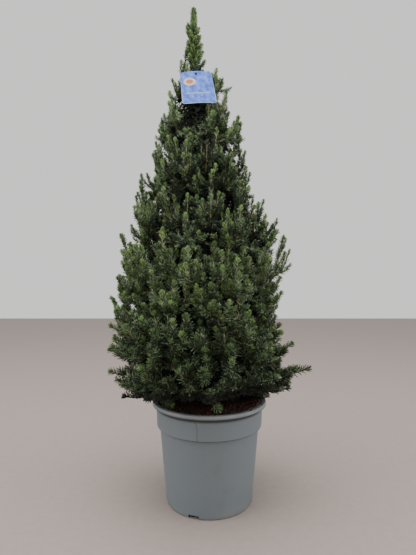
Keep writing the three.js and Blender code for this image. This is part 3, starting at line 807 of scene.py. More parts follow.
@dataclass
class Twigs:
    """Many twigs at once, each a quadratic curve from its root, round its turn, to its tip."""

    root: Array
    turn: Array
    tip: Array

    @classmethod
    def joined(cls, groups: Sequence["Twigs"]) -> "Twigs":
        """All the twigs of several groups."""
        return cls(*(np.concatenate([getattr(g, key) for g in groups]) for key in ("root", "turn", "tip")))

    def __len__(self) -> int:
        """How many twigs there are."""
        return len(self.root)

    def take(self, chosen: Whole) -> "Twigs":
        """The twigs with these numbers."""
        return Twigs(self.root[chosen], self.turn[chosen], self.tip[chosen])

    def at(self, share: Array | float) -> Array:
        """The point at a share s of each twig: (1-s)^2 root + 2s(1-s) turn + s^2 tip."""
        s = np.asarray(share, dtype=float)[..., None]
        return (1 - s) ** 2 * self.root + 2 * s * (1 - s) * self.turn + s**2 * self.tip

    def along(self, share: Array) -> Array:
        """The unit tangent at a share s of each twig: (1-s)(turn - root) + s(tip - turn)."""
        s = share[..., None]
        return unit((1 - s) * (self.turn - self.root) + s * (self.tip - self.turn))

    def length(self) -> Array:
        """Each twig's length, from nine points along it."""
        points = np.stack([self.at(share) for share in np.linspace(0, 1, 9)])
        return np.linalg.norm(np.diff(points, axis=0), axis=-1).sum(axis=0)

    def every(self, value: float) -> Array:
        """The same value for each twig."""
        return np.full(len(self), value)

    def bare(self, clothed: float, least: float = 0.0, most: float = 0.9) -> Array:
        """Share of each twig that stays bare when its last part is clothed over a length."""
        return np.clip(1 - clothed / self.length(), least, most)


# Studio


@dataclass(frozen=True)
class Studio:
    """A plain pale floor, soft light from above and the camera of the photograph."""

    camera_place: Place = (-0.003, -0.980, 0.513)
    pitch: float = 0.38
    lens: float = 27.57
    sensor: float = 36.0
    floor_side: float = 8.0
    floor_colour: Colour = (0.345, 0.285, 0.257)
    world_colour: Colour = (0.56, 0.56, 0.555)
    world_strength: float = 1.66
    aim: Place = (0.0, 0.0, 0.55)
    lights: tuple[tuple[str, Place, float, float], ...] = (
        ("overhead", (-0.2, -0.5, 2.7), 1.8, 56.0),
        ("left_side", (-2.3, -0.5, 1.5), 1.6, 26.0),
        ("right_side", (2.3, -0.5, 1.4), 1.6, 26.0),
    )

    def build_camera(self) -> None:
        """A level camera in front of the plant, tipped down a little."""
        data = bpy.data.cameras.new("camera")
        data.lens, data.sensor_width = self.lens, self.sensor
        data.clip_start, data.clip_end = 0.01, 50.0
        camera = bpy.data.objects.new("camera", data)
        camera.location = self.camera_place
        camera.rotation_euler = (math.radians(90 - self.pitch), 0.0, 0.0)
        bpy.context.scene.collection.objects.link(camera)
        bpy.context.scene.camera = camera

    def build_floor(self) -> None:
        """A square of plain floor under the pot."""
        half = self.floor_side / 2 / MM
        points = np.array([[-half, -half, 0], [half, -half, 0], [half, half, 0], [-half, half, 0.0]])
        finish = PlainFinish("floor", self.floor_colour, 0.9, 60.0, 0.0)
        floor = make_piece("floor", points, [np.array([[0, 1, 2, 3]])], finish.material())

    def build_light(self, name: str, place: Place, side: float, power: float) -> None:
        """A square soft light that faces the middle of the plant.

        Args:
            name: The light's name.
            place: Where it hangs, in metres.
            side: Length of its side, in metres.
            power: Its power, in watts.
        """
        data = bpy.data.lights.new(name, "AREA")
        data.shape, data.size, data.energy = "SQUARE", side, power
        light = bpy.data.objects.new(name, data)
        light.location = place
        towards = unit(np.array(self.aim) - np.array(place))
        turn = math.atan2(towards[1], towards[0]) - math.pi / 2
        light.rotation_euler = (math.acos(-towards[2]), 0.0, turn)
        bpy.context.scene.collection.objects.link(light)

    def build_world(self) -> None:
        """An even pale surrounding."""
        world = bpy.data.worlds.new("studio")
        world.use_nodes = True
        background = world.node_tree.nodes["Background"]
        background.inputs["Color"].default_value = (*self.world_colour, 1.0)
        background.inputs["Strength"].default_value = self.world_strength
        bpy.context.scene.world = world

    def build(self) -> None:
        """Camera, floor, lights and world."""
        self.build_camera()
        self.build_floor()
        self.build_world()
        for light in self.lights:
            self.build_light(*light)


# Pot and compost


@dataclass(frozen=True)
class Pot:
    """The nursery pot: a tapered body, a stepped collar and a rolled lip.

    The rounds are the radii of the foot, the step's edge, and the lip's underside, top and inside.
    """

    height: float = 228.0
    base_radius: float = 98.0
    body_height: float = 170.0
    body_top: float = 112.8
    step: float = 2.5
    collar: float = 119.4
    collar_top: float = 121.2
    lip: float = 129.6
    lip_underside: float = 219.0
    wall: float = 2.2
    floor: float = 3.0
    rounds: tuple[float, ...] = (3.0, 1.6, 1.3, 2.2, 2.4)
    sides: int = 192
    notches: int = 4
    first_notch: float = -110.0
    notch_width: float = 24.0
    notch_height: float = 8.0
    sharp: float = 38.0
    finish: PotFinish = PotFinish()

    def arc(self, across: float, up: float, radius: float, start: float, end: float, steps: int = 5) -> Array:
        """Points on a circle: its middle plus the radius times the angles' cosine and sine."""
        angle = np.radians(np.linspace(start, end, steps))
        return np.stack([across + radius * np.cos(angle), up + radius * np.sin(angle)], axis=-1)

    def profile(self) -> Array:
        """Half of the section: under the foot, up the wall, round the lip, down inside and to the axis.

        Returns:
            Radius and height of each point.
        """
        base, body, shoulder = self.base_radius, self.body_top, self.body_height + self.step
        inner_lip = self.collar_top - self.wall
        foot, edge, under, over, inside = self.rounds
        heights = np.linspace(6.0, self.body_height - 3.0, 24)
        wall = np.stack([mix(base, body, heights / self.body_height), heights], axis=-1)
        collar_heights = np.linspace(shoulder + 2.0, self.lip_underside - 2.0, 10)
        share = (collar_heights - shoulder) / (self.lip_underside - shoulder)
        collar = np.stack([mix(self.collar, self.collar_top, share), collar_heights], axis=-1)
        return np.concatenate([
            [[0.0, 0.0], [base - 30.0, 0.0]],
            self.arc(base - foot, foot, foot, -90.0, -5.0),
            wall,
            [[body - 0.2, self.body_height - 1.0], [body + 0.4, self.body_height]],
            [[mix(body, self.collar, 0.5), self.body_height + self.step * 0.35]],
            self.arc(self.collar - edge, shoulder + 1.0, edge, -60.0, 0.0, 4),
            collar,
            [[self.collar_top, self.lip_underside - 0.7], [self.collar_top + 0.8, self.lip_underside]],
            [[self.lip - 3.0, self.lip_underside + 0.2]],
            self.arc(self.lip - under, self.lip_underside + 1.5, under, -80.0, 0.0),
            self.arc(self.lip - over, self.height - over, over, 10.0, 90.0, 6),
            self.arc(inner_lip + inside, self.height - inside, inside, 100.0, 180.0),
            [[inner_lip - 0.2, self.lip_underside], [self.collar - self.wall, shoulder + self.wall]],
            [[body - self.wall, self.body_height + self.wall], [base - self.wall, self.floor]],
            [[0.0, self.floor]],
        ])

    def shape(self) -> Shape:
        """The turned section, with the faint wander of a moulded wall.

        The radius grows by a slow wave, twice round, that fades towards the foot.

        Returns:
            Points and faces.
        """
        points, faces = revolve(self.profile(), self.sides)
        bearing = np.degrees(np.arctan2(points[:, 1], points[:, 0]))
        radius = np.hypot(points[:, 0], points[:, 1])
        outer = (radius > self.base_radius - 1.0) & (points[:, 2] > 3.0)
        sway = 0.25 * np.sin(np.radians(bearing) * 2 + 0.8) * points[:, 2] / self.height
        grown = np.where(outer, sway, 0.0)
        points[:, :2] *= (1 + grown / np.maximum(radius, 1.0))[:, None]
        return points, faces

    def notch_shape(self) -> Shape:
        """The blocks that cut the drainage notches, as rods laid out from the foot.

        Returns:
            Points and faces.
        """
        bearing = self.first_notch + np.arange(self.notches) * 360 / self.notches
        out, across = bearings(bearing), bearings(bearing + 90)
        corners = np.array([[-1, -1], [1, -1], [1, 1], [-1, 1]]) * [self.notch_width / 2, self.notch_height]
        near_far = np.array([self.base_radius - 7.0, self.base_radius + 7.0])
        places = (
            out[:, None, None] * near_far[:, None, None]
            + across[:, None, None] * corners[:, 0][:, None]
            + UP * corners[:, 1][:, None]
        )
        block = np.array([[0, 3, 2, 1], [4, 5, 6, 7], [0, 1, 5, 4], [1, 2, 6, 5], [2, 3, 7, 6], [3, 0, 4, 7]])
        return places.reshape(-1, 3), [copies(block, self.notches, 8)]

    def build(self) -> None:
        """The pot, with its notches cut by a Boolean modifier that is then applied."""
        material = self.finish.material()
        pot = make_piece("nursery_pot", *self.shape(), material, smooth=True)
        cutter = make_piece("notch_blocks", *self.notch_shape(), material)
        cut = pot.modifiers.new("notches", "BOOLEAN")
        cut.operation, cut.object, cut.solver = "DIFFERENCE", cutter, "EXACT"
        depsgraph = bpy.context.evaluated_depsgraph_get()
        finished = bpy.data.meshes.new_from_object(pot.evaluated_get(depsgraph))
        pot.modifiers.clear()
        pot.data = finished
        bpy.data.objects.remove(cutter)
        pot.data.set_sharp_from_angle(angle=math.radians(self.sharp))
        settle(pot, "pot", "pot")


@dataclass(frozen=True)
class Compost:
    """The bark and peat in the pot, heaped a little to one side, with loose crumbs on top."""

    pot: Pot
    crown_height: float = 224.0
    edge_height: float = 220.5
    flat_radius: float = 26.0
    heap: float = 6.0
    heap_bearing: float = -15.0
    mound: float = 9.0
    mound_bearing: float = -8.0
    mound_spread: float = 26.0
    inset: float = 1.0
    sides: int = 220
    rings: int = 60
    crumbs: int = 1500
    crumb_sizes: tuple[Span, ...] = ((2.0, 5.5), (1.4, 3.2), (0.7, 1.8))
    crumb_tips: Span = (0.3, 1.4)
    rim_every: int = 34
    rim_bearings: Span = (-52.0, 14.0)
    rim_size: float = 0.62
    finish: CompostFinish = CompostFinish()
    loose: CompostFinish = CompostFinish("compost_crumbs", (0.022, 0.010, 0.007), (0.165, 0.060, 0.034))

    def height(self, radius: Array, bearing: Array) -> Array:
        """The surface: from crown to edge height by the radius, plus heap, mound and three sizes of lumps.

        Args:
            radius: Distance from the pot's axis.
            bearing: Degrees from +X.

        Returns:
            Heights.
        """
        edge = self.pot.collar_top - self.pot.wall
        share = np.clip((radius - self.flat_radius) / (edge - self.flat_radius), 0, 1)
        heap = self.heap * np.maximum(0, np.cos(np.radians(bearing - self.heap_bearing))) * share
        aside = (bearing - self.mound_bearing + 180) % 360 - 180
        heap = heap + self.mound * np.exp(-((aside / self.mound_spread) ** 2)) * share**3
        x, y = radius * np.cos(np.radians(bearing)), radius * np.sin(np.radians(bearing))
        broad = np.sin(x * 0.11 + 1.3) * np.cos(y * 0.13 + 0.4)
        middle = np.sin(x * 0.37 + y * 0.22) * np.cos(y * 0.41 - x * 0.16 + 2.0)
        fine = shake(np.round(x * 1.4), np.round(y * 1.4), 3.0) - 0.5
        lumps = np.minimum(1, share * 4) * (1.0 * broad + 0.9 * middle + 1.5 * fine)
        return mix(self.crown_height, self.edge_height, share) + heap + lumps

    def build_bed(self) -> None:
        """The bed: rings of the surface, a wall down inside the pot and a flat underside."""
        inset = self.pot.wall + self.inset
        edge = self.pot.collar_top - inset
        shoulder = self.pot.body_height + self.pot.wall
        radii = np.linspace(edge, 3.0, self.rings)
        down = np.array([
            [0.0, self.pot.floor + 0.3],
            [self.pot.base_radius - inset, self.pot.floor + 0.3],
            [self.pot.body_top - inset, shoulder],
            [self.pot.collar - inset, shoulder + self.pot.step + self.inset],
        ])
        top = np.stack([radii, np.full(self.rings, self.crown_height)], axis=-1)
        points, faces = revolve(np.concatenate([down, top, [[0.0, self.crown_height]]]), self.sides)
        radius = np.hypot(points[:, 0], points[:, 1])
        bearing = np.degrees(np.arctan2(points[:, 1], points[:, 0]))
        on_top = points[:, 2] >= self.crown_height
        points[:, 2] = np.where(on_top, self.height(radius, bearing), points[:, 2])
        bed = make_piece("compost_bed", points, faces, self.finish.material(), smooth=True)
        settle(bed, "compost", "soil")

    def build_crumbs(self) -> None:
        """Loose bark crumbs: uneven six-sided blocks, tipped at random and half sunk in the surface."""
        count = np.arange(self.crumbs)
        u, v = spread(count + 7)
        on_rim = count % self.rim_every == 0
        edge = self.pot.collar_top - self.pot.wall - 4.0
        radius = np.where(on_rim, self.pot.lip - 6.5 + 3 * v, edge * np.sqrt(mix(0.12, 1.0, v)))
        bearing = np.where(on_rim, mix(*self.rim_bearings, u), 360 * u)
        place = bearings(bearing) * radius[:, None]
        dice = (shake(count, 1, 2) ** 1.5, shake(count, 3, 4), shake(count, 5, 6))
        size = np.stack([mix(*span, share) for span, share in zip(self.crumb_sizes, dice)], axis=-1)
        size *= np.where(on_rim, self.rim_size, 1.0)[:, None]
        place[:, 2] = np.where(on_rim, self.pot.height + 0.2, self.height(radius, bearing) + 0.4)
        corners = np.array([[x, y, z] for z in (-1, 1) for y in (-1, 1) for x in (-1, 1)], dtype=float) / 2
        uneven = 0.75 + 0.5 * np.stack([shake(count[:, None], np.arange(8), k) for k in range(3)], axis=-1)
        x, y, z = np.moveaxis(corners * uneven * size[:, None], -1, 0)
        tip = (shake(count, 9, 10) - 0.5) * np.where(on_rim, *self.crumb_tips)
        x, z = turned(x, z, tip[:, None])
        x, y = turned(x, y, (shake(count, 7, 8) * 2 * math.pi)[:, None])
        sides = np.array([[0, 2, 3, 1], [4, 5, 7, 6], [0, 1, 5, 4], [2, 6, 7, 3], [0, 4, 6, 2], [1, 3, 7, 5]])
        faces = [copies(sides, self.crumbs, 8)]
        points = (np.stack([x, y, z], axis=-1) + place[:, None]).reshape(-1, 3)
        settle(make_piece("compost_crumbs", points, faces, self.loose.material()), "compost")

    def build(self) -> None:
        """The bed and its crumbs."""
        self.build_bed()
        self.build_crumbs()


# Trunk and boughs


@dataclass(frozen=True)
class Wood:
    """The trunk, its flared foot and the boughs that carry the lower masses."""

    rule: CrownRule
    tip_height: float = 1114.0
    foot_radius: float = 12.5
    tip_radius: float = 1.3
    flare: float = 8.0
    flare_height: float = 13.0
    buttresses: int = 5
    gap: float = 0.3
    bough_share: float = 0.42
    bough_tip: float = 2.6
    relief: float = 0.9
    trunk_rings: int = 230
    trunk_sides: int = 36
    ring_crowding: float = 1.25
    buttress: float = 1.6
    limb_rings: int = 14
    limb_sides: int = 8
    finish: BarkFinish = BarkFinish("bark", (0.155, 0.098, 0.060), (0.032, 0.020, 0.013))

    def radius(self, height: Array) -> Array:
        """The trunk's radius: an even taper plus a flare that fades as e to the power of the height.

        Args:
            height: Height over the floor.

        Returns:
            The radius.
        """
        share = np.clip((height - self.rule.soil) / (self.tip_height - self.rule.soil), 0, 1)
        flare = self.flare * np.exp((self.rule.soil - height) / self.flare_height)
        return mix(self.foot_radius, self.tip_radius, share) + flare

    def scales(self, around: Array, along: Array, radius: Array) -> Array:
        """Bark relief: long ridges broken across, from two waves and a repeatable shake.

        Args:
            around: Angle round the limb, in radians.
            along: Distance along it.
            radius: Its radius there, which limits the relief.

        Returns:
            How far the bark stands out.
        """
        ridges = np.sin(around * 7 + np.sin(along * 0.13) * 1.7) * np.cos(along * 0.41 + around * 2)
        plates = shake(np.round(around * 4), np.round(along / 5.0), 1.0) - 0.5
        return np.minimum(self.relief, radius * 0.09) * (0.6 * ridges + 0.8 * plates)

    def trunk_shape(self) -> Shape:
        """The trunk as one tube along its leaning axis, ringed more closely near the foot.

        Returns:
            Points and faces.
        """
        share = np.linspace(0, 1, self.trunk_rings) ** self.ring_crowding
        heights = self.rule.soil + self.gap + (self.tip_height - self.rule.soil) * share
        around = np.linspace(0, 2 * math.pi, self.trunk_sides, endpoint=False)
        radius = self.radius(heights)[:, None] + 0 * around
        fade = np.exp((self.rule.soil - heights) / (self.flare_height * 1.4))[:, None]
        radius = radius + fade * self.buttress * np.cos(around * self.buttresses + 0.7)
        radius = radius + self.scales(around, heights[:, None], radius)
        centres = self.rule.on_axis(heights)
        points = centres[:, None] + bearings(np.degrees(around)) * radius[..., None]
        points[0, :, 2] = heights[0]
        rim = np.arange(len(around))
        poles = centres[[0, -1]]
        count = points.shape[0] * points.shape[1]
        faces = [
            grid_faces(len(heights), len(around)),
            fan_faces(rim[::-1], count),
            fan_faces(count - len(around) + rim, count + 1),
        ]
        return np.concatenate([points.reshape(-1, 3), poles]), faces

    def limb_shape(self, limbs: Twigs, root: Array, tip: Array) -> Shape:
        """Tapered limbs with bark relief, swept along their curves.

        Args:
            limbs: The limbs' curves.
            root: Each limb's radius at its root.
            tip: Each limb's radius at its tip.

        Returns:
            Points and faces.
        """
        share = np.linspace(0, 1, self.limb_rings)
        centres = np.stack([limbs.at(part) for part in share], axis=1)
        around = np.linspace(0, 2 * math.pi, self.limb_sides, endpoint=False)
        radius = mix(root[:, None], tip[:, None], share)
        along = share * limbs.length()[:, None] + np.arange(len(limbs))[:, None] * 31
        radii = radius[..., None] + self.scales(around, along[..., None], radius[..., None])
        return tubes(centres, radii, len(around))

    def build(self, limbs: Twigs, carried: Sequence[Mass]) -> None:
        """Trunk and limbs as one piece, which stands for the trunk and every bough.

        Args:
            limbs: From the trunk's axis to the end of each mass's stem.
            carried: The masses that hang on boughs.
        """
        points, faces = self.trunk_shape()
        root = self.radius(limbs.root[:, 2]) * self.bough_share
        limb_points, limb_faces = self.limb_shape(limbs, root, np.full(len(limbs), self.bough_tip * 0.8))
        faces += [part + len(points) for part in limb_faces]
        points = np.concatenate([points, limb_points])
        wood = make_piece("trunk_and_boughs", points, faces, self.finish.material(), True)
        nodes = [f"bough_{mass.label}" for mass in carried]
        settle(wood, "bark", "trunk", *nodes)


# Name tag


@dataclass(frozen=True)
class Tag:
    """The card that hangs in front of the crown by a strap round the trunk and a headed pin."""

    width: float = 73.0
    height: float = 84.0
    arch: float = 5.0
    corner: float = 5.0
    thickness: float = 0.7
    bow: float = 2.2
    hole_drop: float = 7.0
    place: Place = (-30.0, -40.0, 956.0)
    lean: float = 17.5
    swing: float = 5.4
    yaw: float = 6.0
    taper: Span = (1.0315, 0.955)
    grid: tuple[int, int] = (47, 41)
    card_sharp: float = 50.0
    pin_head: float = 3.2
    strap_width: float = 2.6
    strap_depth: float = 0.9
    strap_sharp: float = 40.0
    room_beside: float = 3.0
    room_behind: float = 3.0
    room_above: float = 4.0
    room_below: float = 22.0
    finish: CardFinish = CardFinish()
    strap_finish: PlainFinish = PlainFinish("tag_strap", (0.014, 0.015, 0.026), 0.45)

    def hang(self, points: Array) -> Array:
        """Hangs the card's own points: swings them in their plane, leans them back and yaws them.

        Args:
            points: Places on the flat card: right, up and forward.

        Returns:
            Places in the plant's space.
        """
        right, up = turned(points[:, 0], points[:, 1], math.radians(self.swing))
        height, depth = turned(up, -points[:, 2], math.radians(self.lean))
        across, away = turned(right, depth, math.radians(self.yaw))
        return np.stack([across, away, height], axis=-1) + np.array(self.place)

    def clear(self, points: Array) -> Array:
        """Whether points leave free the strap and the room in front of the card.

        Args:
            points: The points.

        Returns:
            True for each that is out of the way.
        """
        x, y, z = self.place
        swing, lean, yaw = (math.radians(angle) for angle in (self.swing, self.lean, self.yaw))
        drop = z - points[..., 2]
        middle = x + drop * math.tan(swing)
        below = (self.height - self.hole_drop) * math.cos(lean) + self.room_below
        far = (drop > below) | (drop < -self.hole_drop - self.room_above)
        card = y - drop * math.tan(lean) + (points[..., 0] - x) * math.tan(yaw)
        behind = points[..., 1] > card + self.room_behind
        beside = np.abs(points[..., 0] - middle) > self.width / 2 + self.room_beside
        return far | behind | beside

    def card_shape(self) -> tuple[Array, list[Whole], Array]:
        """The card: a grid of shares u across and v up, inside an outline with round corners.

        Half the width shrinks towards both ends by a circle's height and tapers upwards, the top is a
        shallow arch, and the card bows forward by a cosine across it.

        Returns:
            Points, faces and the shares as a flat map.
        """
        rows, columns = self.grid
        u = np.linspace(-1, 1, columns)[None, :]
        v = np.linspace(0, 1, rows)[:, None]
        top, foot = self.hole_drop, self.hole_drop - self.height
        y_side = mix(foot, top - self.arch, v)
        from_end = np.minimum(y_side - foot, top - self.arch - y_side)
        inside = np.clip(1 - from_end / self.corner, 0, 1)
        half = self.width / 2 - self.corner * (1 - np.sqrt(1 - inside**2))
        x = half * u * mix(*self.taper, v)
        lift = self.arch * v**3 * (1 - (x / (self.width / 2)) ** 2)
        y = y_side + lift
        out = self.thickness + self.bow * (np.cos(x / self.width * math.pi) - 1) * (1 - v) ** 0.5
        front = np.stack(np.broadcast_arrays(x, y, out), axis=-1).reshape(-1, 3)
        back = front - np.array([0.0, 0.0, self.thickness])
        faces = grid_faces(rows, columns, closed=False)
        total = rows * columns
        number = np.arange(total).reshape(rows, columns)
        rim = np.concatenate([number[0, :-1], number[:-1, -1], number[-1, :0:-1], number[:0:-1, 0]])
        edge = np.stack([rim, np.roll(rim, -1), np.roll(rim, -1) + total, rim + total], axis=-1)[:, ::-1]
        flat = np.stack([front[:, 0] / self.width + 0.5, (front[:, 1] - foot) / self.height], axis=-1)
        return np.concatenate([front, back]), [faces, faces[:, ::-1] + total, edge], np.tile(flat, (2, 1))

    def build_card(self) -> None:
        """The printed card, with its flat layout kept as a UV map."""
        points, faces, flat = self.card_shape()
        material = self.finish.material(self.width, self.height)
        card = make_piece("tag_card", self.hang(points), faces, material, True)
        layer = card.data.uv_layers.new(name="card")
        corners = np.empty(len(card.data.loops), dtype=np.int32)
        card.data.loops.foreach_get("vertex_index", corners)
        layer.data.foreach_set("uv", flat[corners].astype(np.float32).ravel())
        card.data.set_sharp_from_angle(angle=math.radians(self.card_sharp))
        settle(card, "tag_plate", "tag_plate")

    def build_strap(self, trunk_radius: float, axis: float) -> None:
        """A flat strap round the trunk that runs forward to the pin, and the pin with its round head.

        Args:
            trunk_radius: The trunk's radius where the strap is.
            axis: How far sideways the trunk's axis stands there.
        """
        x, y, z = self.place
        turn = np.linspace(-0.42 * math.pi, 1.42 * math.pi, 30)
        loop = np.stack([np.cos(turn), np.sin(turn), 0 * turn], axis=-1) * (trunk_radius + 1.4)
        loop += np.array([axis, 0.0, z])
        ahead = np.array([[x, y + 6.0, z], [x, y + 2.0, z]])
        back = [ahead[1:] + [0.0, 0.2, 0.0], ahead[:1] + [-0.6, 0.2, 0.0]]
        band, band_faces = self.ribbon(np.concatenate([*back, loop, ahead]))
        disc = self.pin_head * np.array([[0, 0], [0.8, 0], [1, 0.15], [1, 0.35], [0.8, 0.5], [0, 0.55]])
        head, head_faces = revolve(disc, 24)
        head[:, 2] += self.thickness
        rod, rod_faces = revolve(np.array([[0, -4.0], [1.6, -4.0], [1.6, 1.0], [0, 1.0]]), 16)
        points, faces = band, list(band_faces)
        for part, part_faces in ((self.hang(head), head_faces), (self.hang(rod), rod_faces)):
            faces += [numbers + len(points) for numbers in part_faces]
            points = np.concatenate([points, part])
        strap = make_piece("tag_strap", points, faces, self.strap_finish.material(), True)
        strap.data.set_sharp_from_angle(angle=math.radians(self.strap_sharp))
        settle(strap, "tag_tie", "tag_tie")

    def ribbon(self, line: Array) -> Shape:
        """A flat band of even width swept along a level line.

        Args:
            line: Its middle, one point a row.

        Returns:
            Points and faces.
        """
        along = unit(np.gradient(line, axis=0))
        up = UP * self.strap_width / 2
        side = np.cross(along, UP) * self.strap_depth / 2
        rings = np.stack([line + side - up, line + side + up, line - side + up, line - side - up], axis=1)
        last = (len(line) - 1) * 4
        ends = np.array([[3, 2, 1, 0], [last, last + 1, last + 2, last + 3]])
        return rings.reshape(-1, 3), [grid_faces(len(line), 4), ends]


# Foliage


Stems = list[tuple[Twigs, float, float]]


@dataclass(frozen=True)
class Habit:
    """How needles stand on a shoot.

    Attributes:
        length: Length of a needle.
        spacing: Step along the shoot from one needle to the next.
        foot_lean: Angle between shoot and needle, far from the tip.
        tip_lean: The same angle at the tip.
        young: Length at the tip whose needles are young.
        dark: Share of the little groups of needles that are dealt the deep green.
        pale: Share that is dealt the grey green.
        gather: Power by which needles crowd towards the tip, where 1 spaces them evenly.
        parted: Share of the needles that is missing on the side away from the trunk.
    """

    length: float
    spacing: float
    foot_lean: float
    tip_lean: float
    young: float = 0.0
    dark: float = 0.0
    pale: float = 0.0
    gather: float = 1.0
    parted: float = 0.0

    def towards(self, other: "Habit", share: float) -> "Habit":
        """The habit that lies a share of the way to another."""
        return Habit(*(mix(mine, theirs, share) for mine, theirs in zip(astuple(self), astuple(other))))


@dataclass
class NeedleField:
    """Needles gathered from every shoot: root, way, length and the green that each is dealt."""

    root: list[Array] = field(default_factory=list)
    way: list[Array] = field(default_factory=list)
    length: list[Array] = field(default_factory=list)
    green: list[Whole] = field(default_factory=list)

    def add(self, root: Array, way: Array, length: Array, green: Whole) -> None:
        """Adds needles.

        Args:
            root: Where they stand.
            way: The way that each points.
            length: Their lengths.
            green: The number of each one's green.
        """
        self.root.append(root)
        self.way.append(way)
        self.length.append(length)
        self.green.append(green)


@dataclass(frozen=True)
class Gap:
    """A box that shoots keep out of: between two sides and two heights, and open to the front."""

    left: float
    right: float
    back: float
    low: float
    high: float

    def holds(self, points: Array) -> Array:
        """Whether points lie in the box."""
        x, y, z = np.moveaxis(points, -1, 0)
        return (x > self.left) & (x < self.right) & (y < self.back) & (z > self.low) & (z < self.high)


